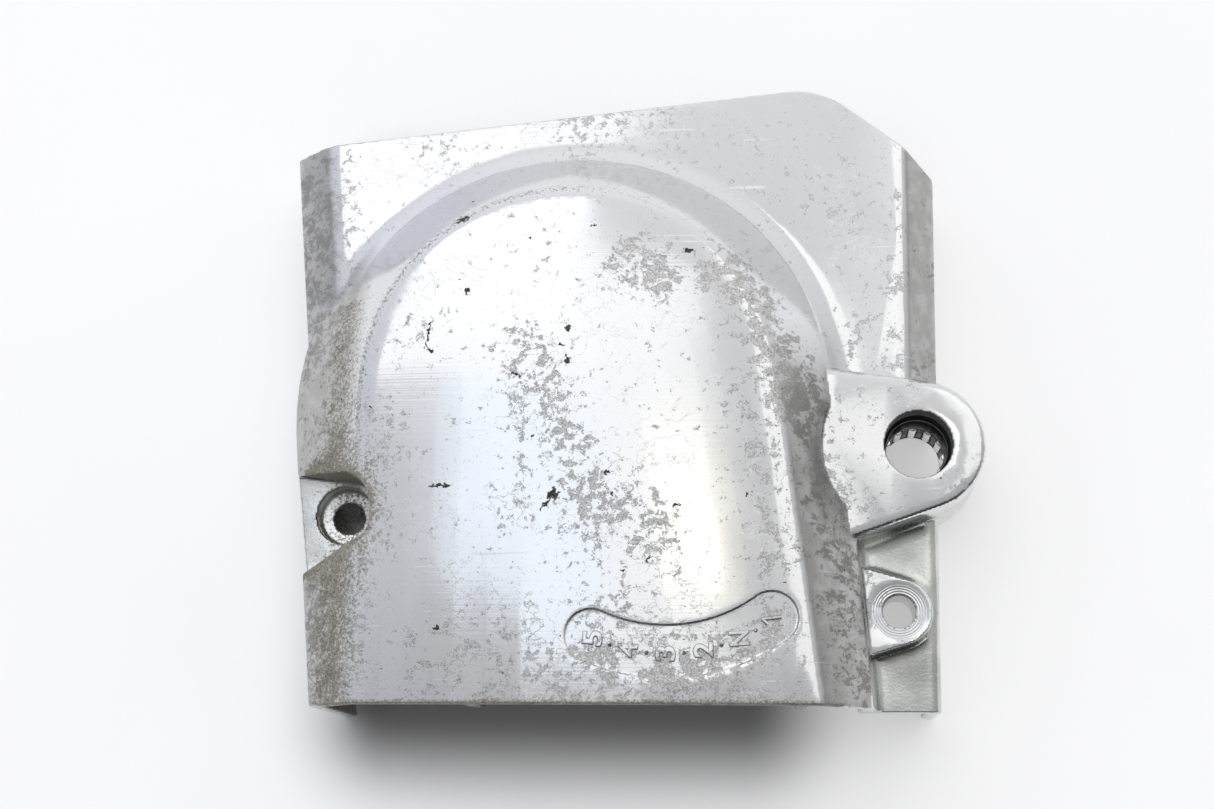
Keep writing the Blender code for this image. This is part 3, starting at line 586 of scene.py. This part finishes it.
# %% Dull film on the outer slopes
STEEP = (0.94, 0.80)
SLIGHTLY_STEEP = (0.97, 0.91)
LOWEST_SLOPE = 0.1
WING_FACET = (61 * MM, 63 * MM)
RIGHT_FACET, RIGHT_FACET_END = (33 * MM, 36 * MM), 52 * MM
RIGHT_FACET_REAR = (14 * MM, -6 * MM)
LEFT_FACET = (-56 * MM, -61 * MM)

on_wing = ramp(x, *WING_FACET) * (y > 0)
on_right = ramp(x, *RIGHT_FACET) * (x < RIGHT_FACET_END) * ramp(y, *RIGHT_FACET_REAR)
on_left = 0.9 * ramp(x, *LEFT_FACET) * ramp(upward, *SLIGHTLY_STEEP)
film = np.maximum(ramp(upward, *STEEP) * np.clip(on_wing + on_right, 0, 1), on_left)
store(skin, "film", film * (upward > LOWEST_SLOPE))

# %% Unpolished metal, and painted shade inside and on the notch's wall
CLEAR = 0.4 * MM
CAST_LOWEST = 15 * MM
WALL_SLOPE, FLOOR_SLOPE = 0.5, 0.8
INTO_WALL = 0.3 * MM
SHELF_LEFT, SHELF_REAR, SHELF_TOP = 44 * MM, -12 * MM, 27.2 * MM
NOTCH_SCREW, SEAT_REACH = Vector((-62.77, -27.03)) * MM, 7 * MM
NOTCH_TOP, NOTCH_FLOOR, WALL_FOOT = 44 * MM, 26.5 * MM, 28 * MM

solid = merged_copy("cover_casting")
shell = BVHTree.FromBMesh(solid)
solid.free()
starts = [Vector(point) + CLEAR * Vector(normal) for point, normal in zip(points, normals)]
covered = np.array([shell.ray_cast(start, Vector((0, 0, 1)))[0] is not None for start in starts])
low_shelf = (x > SHELF_LEFT) & (y < SHELF_REAR) & (z < SHELF_TOP) & (z > CAST_LOWEST)
in_notch = (notch_distance(x, y) < INTO_WALL) & (z < NOTCH_TOP)
in_seat = in_notch & (np.hypot(x - NOTCH_SCREW.x, y - NOTCH_SCREW.y) < SEAT_REACH) & (z > CAST_LOWEST)
notch_floor = in_seat | (in_notch & (z > NOTCH_FLOOR) & (upward > FLOOR_SLOPE))
notch_wall = in_notch & (z > WALL_FOOT) & (upward < WALL_SLOPE)
# Painted shade: the covered inside and the notch's wall get the full value, which the metal's colour turns
# dark grey.
as_cast_and_shade = np.where(covered | notch_wall, 1.0, np.where(low_shelf, 0.8, np.where(notch_floor, 0.5, 0.0)))
store(skin, "as_cast_and_shade", as_cast_and_shade)

# %% Painted shade on the bore's wall above the seal
seal_low, seal_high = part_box("shift_shaft_dust_seal")
BORE_AXIS = Vector(((seal_low.x + seal_high.x) / 2, (seal_low.y + seal_high.y) / 2, 0))
bore_radius = seal_high.x - BORE_AXIS.x
PAINTED_SHADE_REACH, PAINTED_SHADE_DEPTH = 0.25 * MM, 1 * MM
near_bore = np.hypot(x - BORE_AXIS.x, y - BORE_AXIS.y) < bore_radius + PAINTED_SHADE_REACH
store(skin, "painted_shade", near_bore * (z > seal_high.z - PAINTED_SHADE_DEPTH) * (upward < WALL_SLOPE))

# %% [markdown]
# ## The metal
# Polished aluminium mirrors the panels, softly, because fine brush lines run along the cover. Corrosion makes
# it grey and matt in ragged patches and in thin wandering lines. Grime is brown and dull, and isn't metal at
# all. An image could hold all of this, but noise at several sizes does it at any closeness, and the masks
# put it where the real cover has it.

# %% Where the polish is gone
ALONG_WALLS = (1, 1, 0.45)


def mask(tree, name):
    return add_node(tree, "ShaderNodeAttribute", attribute_name=name).outputs["Fac"]


def ragged_patches(tree, where, corrosion):
    fine = noise(tree, place_on(tree, ALONG_WALLS), 460, detail=12, roughness=0.78, distortion=0.3)
    uneven = in_range(tree, noise(tree, where, 130, detail=3), 0.35, 0.6, 0.6, 1.1)
    reach = maths(tree, "MULTIPLY", maths(tree, "MULTIPLY", corrosion, 0.155), uneven)
    return in_range(tree, maths(tree, "ADD", fine, reach), 0.600, 0.632)


def wandering_lines(tree, where, corrosion):
    """Thin lines where a noise crosses its middle value, in some areas only."""
    middle = maths(tree, "SUBTRACT", noise(tree, where, 210, detail=4, roughness=0.6), 0.5)
    lines = in_range(tree, maths(tree, "ABSOLUTE", middle), 0.004, 0.011, 0.8, 0.0)
    some_areas = in_range(tree, noise(tree, where, 70, detail=2), 0.52, 0.66)
    lines = maths(tree, "MULTIPLY", lines, some_areas)
    return maths(tree, "MULTIPLY", lines, in_range(tree, corrosion, 0.0, 0.25, 0.35, 1.0))


def fine_scratches(tree, where):
    lines = in_range(tree, noise(tree, place_on(tree, (45, 1300, 1), 0.75), 1.0, detail=1), 0.70, 0.74)
    return maths(tree, "MULTIPLY", lines, in_range(tree, noise(tree, where, 35), 0.45, 0.55))


print("corrosion helpers ready")

# %% Dirt in pits
MARKS = (
    (-41.6, 9.2, 3.6, 0.35, 80), (-41.2, 5.6, 0.8, 0.5, 0), (-14.0, -26.0, 1.6, 0.9, 60),
    (-15.4, -28.0, 1.9, 0.3, 50), (-35.2, 35.4, 1.8, 0.8, 10), (-33.4, 18.7, 1.0, 0.5, 50),
    (-11.4, 9.9, 0.9, 0.5, 20), (-11.3, 2.9, 0.9, 0.7, 90), (-38.0, -24.0, 2.6, 0.45, 5),
    (-2.7, -21.5, 0.9, 0.6, 0), (11.8, -28.5, 0.9, 0.4, 30), (26.6, -26.2, 0.6, 0.6, 80),
    (-37.9, -54.2, 0.6, 0.45, 0), (-21.9, -0.3, 1.2, 0.3, -20), (6.0, -40.1, 0.6, 0.3, 60),
    (-20.0, 30.5, 0.5, 0.4, 0), (-12.6, 6.2, 0.5, 0.4, 0), (14.5, 27.0, 1.2, 0.5, 0),
    (-6.0, 33.0, 0.5, 0.3, 0), (-1.5, -26.3, 0.5, 0.3, 0),
)
JITTER = 3 * MM
FLAT = (1, 1, 0)


def jittered(tree, where):
    """Coordinates shifted by a fine noise, which frays the edge of any shape drawn with them."""
    inputs = {"Vector": where, "Scale": 1100.0, "Detail": 6.0}
    colour = add_node(tree, "ShaderNodeTexNoise", inputs).outputs["Color"]
    shift = vector_maths(tree, "MULTIPLY", colour, (JITTER, JITTER, 0))
    shifted = vector_maths(tree, "ADD", where, shift)
    return vector_maths(tree, "SUBTRACT", shifted, (JITTER / 2, JITTER / 2, 0))


def measured_marks(tree, ragged):
    """Dark spots: ellipses at measured places. X, Y, half length, half width in mm, and turn in degrees."""
    nearest = None
    for mark_x, mark_y, half_length, half_width, turned in MARKS:
        inputs = {"Vector": ragged, "Location": (mark_x * MM, mark_y * MM, 0)}
        inputs["Rotation"] = (0, 0, math.radians(turned))
        inputs["Scale"] = (half_length * MM, half_width * MM, 1)
        local = add_node(tree, "ShaderNodeMapping", inputs, vector_type="TEXTURE").outputs[0]
        away = length_of(tree, vector_maths(tree, "MULTIPLY", local, FLAT))
        nearest = away if nearest is None else maths(tree, "MINIMUM", nearest, away)
    return in_range(tree, nearest, 0.8, 1.1, 1.0, 0.0)


def dirt_in_pits(tree, where):
    pinholes = in_range(tree, noise(tree, where, 60), 0.4, 0.6, 0.85, 1.0)
    pinholes = in_range(tree, maths(tree, "MULTIPLY", noise(tree, where, 700), pinholes), 0.74, 0.77)
    return maths(tree, "MAXIMUM", measured_marks(tree, jittered(tree, where)), pinholes)


print("marks:", len(MARKS))

# %% Colours of the metal
def corrosion_colour(tree, where, speckle, film):
    cells = maths(tree, "SUBTRACT", noise(tree, place_on(tree, ALONG_WALLS), 1500, detail=3), 0.5)
    inner = in_range(tree, maths(tree, "ABSOLUTE", cells), 0.01, 0.07)
    grey = blend_colour(tree, inner, (0.36, 0.355, 0.34, 1), (0.66, 0.655, 0.645, 1))
    grey = blend_colour(tree, in_range(tree, speckle, 0.5, 0.75), grey, (0.78, 0.775, 0.76, 1))
    return blend_colour(tree, film, grey, (0.31, 0.305, 0.29, 1))


def metal_colour(tree, where, film, cast_and_shade, scratches):
    """Polished metal, greyer under the film, satin where unpolished, dark grey where shade is painted."""
    cloud = in_range(tree, noise(tree, where, 90, detail=3), 0.35, 0.65)
    satin = blend_colour(tree, cloud, (0.50, 0.52, 0.49, 1), (0.74, 0.75, 0.71, 1))
    # Painted shade: at the full value, on the covered inside and the notch's wall, the metal is dark grey.
    satin = blend_colour(tree, in_range(tree, cast_and_shade, 0.85, 0.95), satin, (0.33, 0.33, 0.31, 1))
    metal = blend_colour(tree, film, (0.75, 0.755, 0.765, 1), (0.39, 0.385, 0.375, 1))
    metal = blend_colour(tree, cast_and_shade, metal, satin)
    return blend_colour(tree, maths(tree, "MULTIPLY", scratches, 0.5), metal, (0.95, 0.95, 0.95, 1))


def cover_with_dirt_and_shade(tree, colour, speckle, dirty, marks, painted_shade):
    mottle = in_range(tree, speckle, 0.4, 0.62)
    soil = blend_colour(tree, mottle, (0.19, 0.16, 0.10, 1), (0.42, 0.40, 0.31, 1))
    colour = blend_colour(tree, maths(tree, "MULTIPLY", dirty, 0.8), colour, soil)
    in_pit = in_range(tree, speckle, 0.45, 0.65)
    stain = blend_colour(tree, in_pit, (0.02, 0.018, 0.015, 1), (0.14, 0.125, 0.09, 1))
    colour = blend_colour(tree, marks, colour, stain)
    # Painted shade: black on the bore's wall above the seal and at the foot of the gear numbers.
    return blend_colour(tree, painted_shade, colour, (0.02, 0.02, 0.02, 1))


print("colour mixes ready")

# %% Fine relief
SPOT_FACE = (58.73 * MM, -48.63 * MM)
SPOT_FACE_FADE = (5.4 * MM, 6.2 * MM)
TOOL_STEP = 0.55 * MM
BRUSH_DEPTH, PIT_DEPTH, GRAIN_DEPTH, TOOL_DEPTH = 0.000006, 0.00004, 0.00005, 0.00003


def tool_rings(tree, where):
    """Rings that the cutter left on the seat of the right screw."""
    away = vector_maths(tree, "SUBTRACT", where, (*SPOT_FACE, 0))
    radius = length_of(tree, vector_maths(tree, "MULTIPLY", away, FLAT))
    rings = maths(tree, "SINE", maths(tree, "MULTIPLY", radius, 2 * math.pi / TOOL_STEP))
    return maths(tree, "MULTIPLY", rings, in_range(tree, radius, *SPOT_FACE_FADE, 1.0, 0.0))


def fine_relief(tree, where, corroded, cast_and_shade, speckle):
    brushed = noise(tree, place_on(tree, (25, 2200, 200)), 1.0, detail=2)
    normal = bump(tree, brushed, BRUSH_DEPTH)
    pits = maths(tree, "MULTIPLY", corroded, maths(tree, "ADD", speckle, -1.0))
    normal = bump(tree, pits, PIT_DEPTH, below=normal)
    grain = maths(tree, "MULTIPLY", noise(tree, where, 1500, detail=3), cast_and_shade)
    normal = bump(tree, grain, GRAIN_DEPTH, below=normal)
    return bump(tree, tool_rings(tree, where), TOOL_DEPTH, below=normal)


print("tool rings every", TOOL_STEP / MM, "mm")

# %% Aluminium
MARKS_ABOVE, DOME_ABOVE = 0.03, 0.037


def fill_aluminium(tree, shader):
    where = place_on(tree)
    height = add_node(tree, "ShaderNodeSeparateXYZ", {0: where}).outputs["Z"]
    corrosion, cast_and_shade, painted_shade = (mask(tree, name) for name in ("corrosion", "as_cast_and_shade", "painted_shade"))
    speckle = noise(tree, where, 2400, detail=2)
    film_cloud = in_range(tree, noise(tree, where, 260, detail=6), 0.35, 0.6, 0.8, 1.0)
    film = maths(tree, "MULTIPLY", mask(tree, "film"), film_cloud)
    patches = ragged_patches(tree, where, corrosion)
    corroded = maths(tree, "MAXIMUM", patches, wandering_lines(tree, where, corrosion))
    corroded = maths(tree, "MULTIPLY", corroded, maths(tree, "SUBTRACT", 1.0, cast_and_shade))
    scratches = fine_scratches(tree, where)
    dirt = noise(tree, place_on(tree, ALONG_WALLS), 1500, detail=8, roughness=0.75)
    dirt = maths(tree, "ADD", dirt, maths(tree, "MULTIPLY", mask(tree, "grime"), 0.30))
    dirty = in_range(tree, dirt, 0.60, 0.74)
    on_top = maths(tree, "GREATER_THAN", height, MARKS_ABOVE)
    marks = maths(tree, "MULTIPLY", dirt_in_pits(tree, where), on_top)

    on_dome = maths(tree, "GREATER_THAN", height, DOME_ABOVE)
    strongest = maths(tree, "ADD", 0.65, maths(tree, "MULTIPLY", on_dome, 0.35))
    share = maths(tree, "MULTIPLY", corroded, strongest)
    metal = metal_colour(tree, where, film, cast_and_shade, scratches)
    colour = blend_colour(tree, share, metal, corrosion_colour(tree, where, speckle, film))
    colour = cover_with_dirt_and_shade(tree, colour, speckle, dirty, marks, painted_shade)
    tree.links.new(colour, shader.inputs["Base Color"])

    dull = maths(tree, "MAXIMUM", maths(tree, "MAXIMUM", dirty, marks), painted_shade)
    metallic = maths(tree, "SUBTRACT", 1.0, maths(tree, "MULTIPLY", dull, 0.9))
    tree.links.new(metallic, shader.inputs["Metallic"])
    rough = in_range(tree, noise(tree, where, 45, detail=3), 0.3, 0.7, 0.09, 0.14)
    worn, never_polished = maths(tree, "MAXIMUM", corroded, scratches), maths(tree, "ADD", cast_and_shade, film)
    rough = maths(tree, "ADD", rough, maths(tree, "MULTIPLY", worn, 0.32))
    rough = maths(tree, "ADD", rough, maths(tree, "MULTIPLY", never_polished, 0.15))
    rough = maths(tree, "ADD", rough, maths(tree, "MULTIPLY", dull, 0.4), clamp=True)
    tree.links.new(rough, shader.inputs["Roughness"])
    tree.links.new(fine_relief(tree, where, corroded, cast_and_shade, speckle), shader.inputs["Normal"])


skin.data.materials.clear()
skin.data.materials.append(make_material("worn_aluminium", fill_aluminium))
print("aluminium nodes:", len(skin.data.materials[0].node_tree.nodes))

# %% [markdown]
# ## Raised gear numbers
# The gear pattern is cast inside the kidney, in letters that stand 0.3 mm proud. Blender's own font is close
# to the plain foundry letters, and the 1 is drawn from two strokes. Each sign becomes a mesh, is fitted to
# its size, and is laid on the metal along the kidney's arc. All of them have their tops towards the left and
# fan out only a little.

# %% Signs as meshes
SIGNS = (
    ("5", -113.5, 3.4), ("4", -101.8, 3.4), ("3", -90.0, 3.4),
    ("2", -78.2, 3.4), ("N", -66.4, 3.2), ("1", -54.9, 1.9),
)
STROKES = {"1": (((0, -0.29), (0, 0.29)), ((0, 0.29), (-0.17, 0.13)))}
STROKE_RADIUS = 0.065
LETTER_BEVEL = 0.05


def drawn_sign(strokes):
    sign = bpy.data.curves.new("sign", "CURVE")
    sign.dimensions = "3D"
    sign.bevel_depth = STROKE_RADIUS
    sign.use_fill_caps = True
    for stroke in strokes:
        line = sign.splines.new("POLY")
        line.points.add(len(stroke) - 1)
        for point, place in zip(line.points, stroke):
            point.co = (*place, 0, 1)
    return sign


def font_sign(text):
    sign = bpy.data.curves.new("sign", "FONT")
    sign.body = text
    sign.bevel_depth = LETTER_BEVEL
    return sign


def sign_mesh(text):
    """Sign with wide rounded edges, as a mesh of the font's own size."""
    sign = drawn_sign(STROKES[text]) if text in STROKES else font_sign(text)
    sign.bevel_resolution = 3
    sign.resolution_u = 8
    holder = bpy.data.objects.new("sign", sign)
    bpy.context.collection.objects.link(holder)
    mesh = bpy.data.meshes.new_from_object(holder.evaluated_get(bpy.context.evaluated_depsgraph_get()))
    bpy.data.objects.remove(holder)
    return mesh


print("signs:", "".join(text for text, degrees, width in SIGNS))

# %% Gear numbers laid on the metal
SIGN_ARC = 37.8 * MM
SIGN_TALL = 4.3 * MM
SIGN_PROUD = 0.30 * MM
SIGN_FAN = 0.2
ABOVE_METAL = 60 * MM
FOOT_SHADE = 0.9

skin_copy = bmesh.new()
skin_copy.from_mesh(skin.data)
metal = BVHTree.FromBMesh(skin_copy)
skin_copy.free()
foot_shade = []


def lay_on_metal(verts):
    """Drop vertices onto the metal. What was above zero stands proud, and its foot gets painted shade."""
    for vertex in verts:
        hit = metal.ray_cast(Vector((vertex.co.x, vertex.co.y, ABOVE_METAL)), Vector((0, 0, -1)))[0]
        foot_shade.append(FOOT_SHADE * (1 - min(max(vertex.co.z / SIGN_PROUD, 0), 1) ** 2))
        vertex.co.z += hit.z


def place_on_arc(degrees):
    turn = math.radians(degrees)
    out_x, out_y = SIGN_ARC * math.cos(turn), SIGN_ARC * math.sin(turn)
    return Vector((KIDNEY_CENTRE.x + out_x, KIDNEY_CENTRE.y + out_y, 0))


numbers = bmesh.new()
for text, degrees, width in SIGNS:
    known = set(numbers.verts)
    numbers.from_mesh(sign_mesh(text))
    fresh = [vertex for vertex in numbers.verts if vertex not in known]
    low = Vector([min(v.co[i] for v in fresh) for i in range(3)])
    high = Vector([max(v.co[i] for v in fresh) for i in range(3)])
    wanted = (width * MM, SIGN_TALL, 2 * SIGN_PROUD)
    fit = Matrix.Diagonal((*(size / (high[i] - low[i]) for i, size in enumerate(wanted)), 1))
    bmesh.ops.translate(numbers, verts=fresh, vec=-(low + high) / 2)
    bmesh.ops.transform(numbers, verts=fresh, matrix=fit)
    upright = Matrix.Rotation(math.radians(90 + SIGN_FAN * (degrees + 90)), 4, "Z")
    bmesh.ops.transform(numbers, verts=fresh, matrix=Matrix.Translation(place_on_arc(degrees)) @ upright)
    lay_on_metal(fresh)
print("points in the signs:", len(numbers.verts))

# %% Dots between the numbers
DOT_RADIUS = 0.42 * MM
DOT_FLATNESS = 0.7

for (text, before, width), (text, after, width) in zip(SIGNS, SIGNS[1:]):
    dot = bmesh.ops.create_uvsphere(numbers, u_segments=16, v_segments=8, radius=DOT_RADIUS)["verts"]
    bmesh.ops.scale(numbers, verts=dot, vec=(1, 1, DOT_FLATNESS))
    bmesh.ops.translate(numbers, verts=dot, vec=place_on_arc((before + after) / 2))
    lay_on_metal(dot)
gear_numbers = new_piece("gear_numbers", numbers, "casting")
gear_numbers.data.shade_smooth()
gear_numbers.data.set_sharp_from_angle(angle=math.radians(40))
store(gear_numbers, "corrosion", np.full(len(gear_numbers.data.vertices), 0.4))
# Painted shade: the foot of each sign is painted black.
store(gear_numbers, "painted_shade", np.array(foot_shade))
gear_numbers.data.materials.append(skin.data.materials[0])
print("gear number faces:", len(gear_numbers.data.polygons))

# %% [markdown]
# ## What sits in the bore
# The bore carries a black rubber seal on top and a needle bearing below it. The seal and the cup are turned
# parts, so each is a profile with rounded corners, spun round the bore's axis. They replace their CAD
# solids, whose edges are sharp.

# %% Turned rings
TURN_STEPS = 96


def turned_ring(profile, rounding):
    """Ring from (radius, height) corners, each rounded, spun round the bore's axis."""
    ring = bmesh.new()
    corners = [ring.verts.new((BORE_AXIS.x + radius, BORE_AXIS.y, height)) for radius, height in profile]
    ring.faces.new(corners)
    bmesh.ops.bevel(
        ring, geom=corners, offset=rounding, offset_type="OFFSET", segments=3, profile=0.5,
        affect="VERTICES", material=-1,
    )
    bmesh.ops.delete(ring, geom=list(ring.faces), context="FACES_ONLY")
    bmesh.ops.spin(
        ring, geom=list(ring.verts) + list(ring.edges), cent=BORE_AXIS, axis=(0, 0, 1), angle=2 * math.pi,
        steps=TURN_STEPS, use_merge=True,
    )
    bmesh.ops.recalc_face_normals(ring, faces=ring.faces)
    return ring


print("steps round each ring:", TURN_STEPS)

# %% Dust seal
SEAL_MOUTH = 7.8 * MM
LIP_TOP_RADIUS, LIP_TOP_DEPTH = 6.75 * MM, 0.9 * MM
LIP_FOOT_RADIUS, LIP_FOOT_DEPTH = 6.6 * MM, 1.6 * MM
SEAL_BACK_RADIUS, SEAL_BACK_DEPTH = 7.4 * MM, 3.2 * MM
SEAL_ROUNDING = 0.12 * MM


def fill_rubber(tree, shader):
    where = place_on(tree)
    dust = in_range(tree, noise(tree, where, 600, detail=6, roughness=0.7), 0.55, 0.75)
    colour = blend_colour(tree, dust, (0.012, 0.012, 0.012, 1), (0.07, 0.065, 0.06, 1))
    tree.links.new(colour, shader.inputs["Base Color"])
    tree.links.new(in_range(tree, dust, 0, 1, 0.32, 0.6), shader.inputs["Roughness"])
    tree.links.new(bump(tree, noise(tree, where, 2500), 0.00002), shader.inputs["Normal"])


seal_top, seal_bottom = seal_high.z, seal_low.z
seal_profile = [
    (bore_radius, seal_bottom), (bore_radius, seal_top), (SEAL_MOUTH, seal_top),
    (LIP_TOP_RADIUS, seal_top - LIP_TOP_DEPTH), (LIP_FOOT_RADIUS, seal_top - LIP_FOOT_DEPTH),
    (SEAL_BACK_RADIUS, seal_top - SEAL_BACK_DEPTH), (SEAL_BACK_RADIUS, seal_bottom),
]
seal = new_piece("dust_seal_ring", turned_ring(seal_profile, SEAL_ROUNDING), "casting")
seal.data.shade_smooth()
seal.data.materials.append(make_material("black_rubber", fill_rubber))
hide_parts("shift_shaft_dust_seal")
print("seal from", round(seal_bottom / MM, 1), "to", round(seal_top / MM, 1), "mm")

# %% Bearing cup
CUP_WALL = 0.8 * MM
CUP_LIP_RADIUS = 6.4 * MM
CUP_ROUNDING = 0.15 * MM


def fill_steel(dark, light, roughness):
    def fill(tree, shader):
        where = place_on(tree)
        stain = in_range(tree, noise(tree, where, 300, detail=8, roughness=0.7), 0.4, 0.65)
        tree.links.new(blend_colour(tree, stain, light, dark), shader.inputs["Base Color"])
        tree.links.new(in_range(tree, stain, 0, 1, roughness, roughness + 0.2), shader.inputs["Roughness"])
        shader.inputs["Metallic"].default_value = 1.0
        tree.links.new(bump(tree, noise(tree, where, 3000), 0.000008), shader.inputs["Normal"])
    return fill


cup_low, cup_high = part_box("needle_bearing_cup")
track = bore_radius - CUP_WALL
cup_profile = [
    (bore_radius, cup_low.z), (bore_radius, cup_high.z), (CUP_LIP_RADIUS, cup_high.z),
    (CUP_LIP_RADIUS, cup_high.z - CUP_WALL), (track, cup_high.z - CUP_WALL),
    (track, cup_low.z + CUP_WALL), (CUP_LIP_RADIUS, cup_low.z + CUP_WALL), (CUP_LIP_RADIUS, cup_low.z),
]
cup = new_piece("drawn_cup", turned_ring(cup_profile, CUP_ROUNDING), "casting")
cup.data.shade_smooth()
cup_finish = fill_steel((0.05, 0.05, 0.05, 1), (0.16, 0.155, 0.15, 1), 0.3)
cup.data.materials.append(make_material("drawn_steel", cup_finish))
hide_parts("needle_bearing_cup")
print("cup from", round(cup_low.z / MM, 1), "to", round(cup_high.z / MM, 1), "mm")

# %% [markdown]
# ## The cage and the rollers
# A needle bearing's cage is a thin sleeve with a window for each roller. Its CAD mesh has every window
# already, so a copy of it is kept, and a narrow bevel breaks its edges. The rollers are ground bars with
# rounded ends, so each is a new cylinder in the place of its CAD solid. The cage and each roller ride on
# bodies of their own, because they turn.

# %% Cage
CAGE_EDGE = 0.06 * MM
SHARP_ANGLE = math.radians(35)

cage = new_piece("roller_cage", merged_copy("needle_bearing_cage"), "cage")
broken_edges = cage.modifiers.new("broken_edges", "BEVEL")
broken_edges.width = CAGE_EDGE
broken_edges.segments = 2
broken_edges.limit_method = "ANGLE"
apply_modifiers(cage)
cage.data.shade_smooth()
cage.data.set_sharp_from_angle(angle=SHARP_ANGLE)
cage.data.materials.clear()
cage_finish = fill_steel((0.01, 0.01, 0.01, 1), (0.035, 0.035, 0.035, 1), 0.35)
cage.data.materials.append(make_material("dark_cage", cage_finish))
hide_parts("needle_bearing_cage")
print("cage faces:", len(cage.data.polygons))

# %% Rollers
ROLLERS = 12
ROLLER_RADIUS = 1.0 * MM
ROLLER_EDGE = 0.2 * MM


def roller_bar(low, high):
    bar = bmesh.new()
    bmesh.ops.create_cone(
        bar, cap_ends=True, segments=24, radius1=ROLLER_RADIUS, radius2=ROLLER_RADIUS, depth=high.z - low.z
    )
    rims = [edge for edge in bar.edges if abs(edge.verts[0].co.z - edge.verts[1].co.z) < JOIN]
    bmesh.ops.bevel(
        bar, geom=rims, offset=ROLLER_EDGE, offset_type="OFFSET", segments=3, profile=0.5,
        affect="EDGES", material=-1,
    )
    bmesh.ops.translate(bar, verts=bar.verts, vec=(low + high) / 2)
    return bar


roller_finish = fill_steel((0.78, 0.77, 0.75, 1), (0.95, 0.95, 0.95, 1), 0.2)
roller_steel = make_material("ground_rollers", roller_finish)
for number in range(1, ROLLERS + 1):
    bar = roller_bar(*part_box(f"needle_roller_{number:02d}"))
    roller = new_piece(f"roller_bar_{number:02d}", bar, f"roller_{number:02d}")
    roller.data.shade_smooth()
    roller.data.set_sharp_from_angle(angle=SHARP_ANGLE)
    roller.data.materials.append(roller_steel)
    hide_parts(f"needle_roller_{number:02d}")
print("rollers:", ROLLERS)
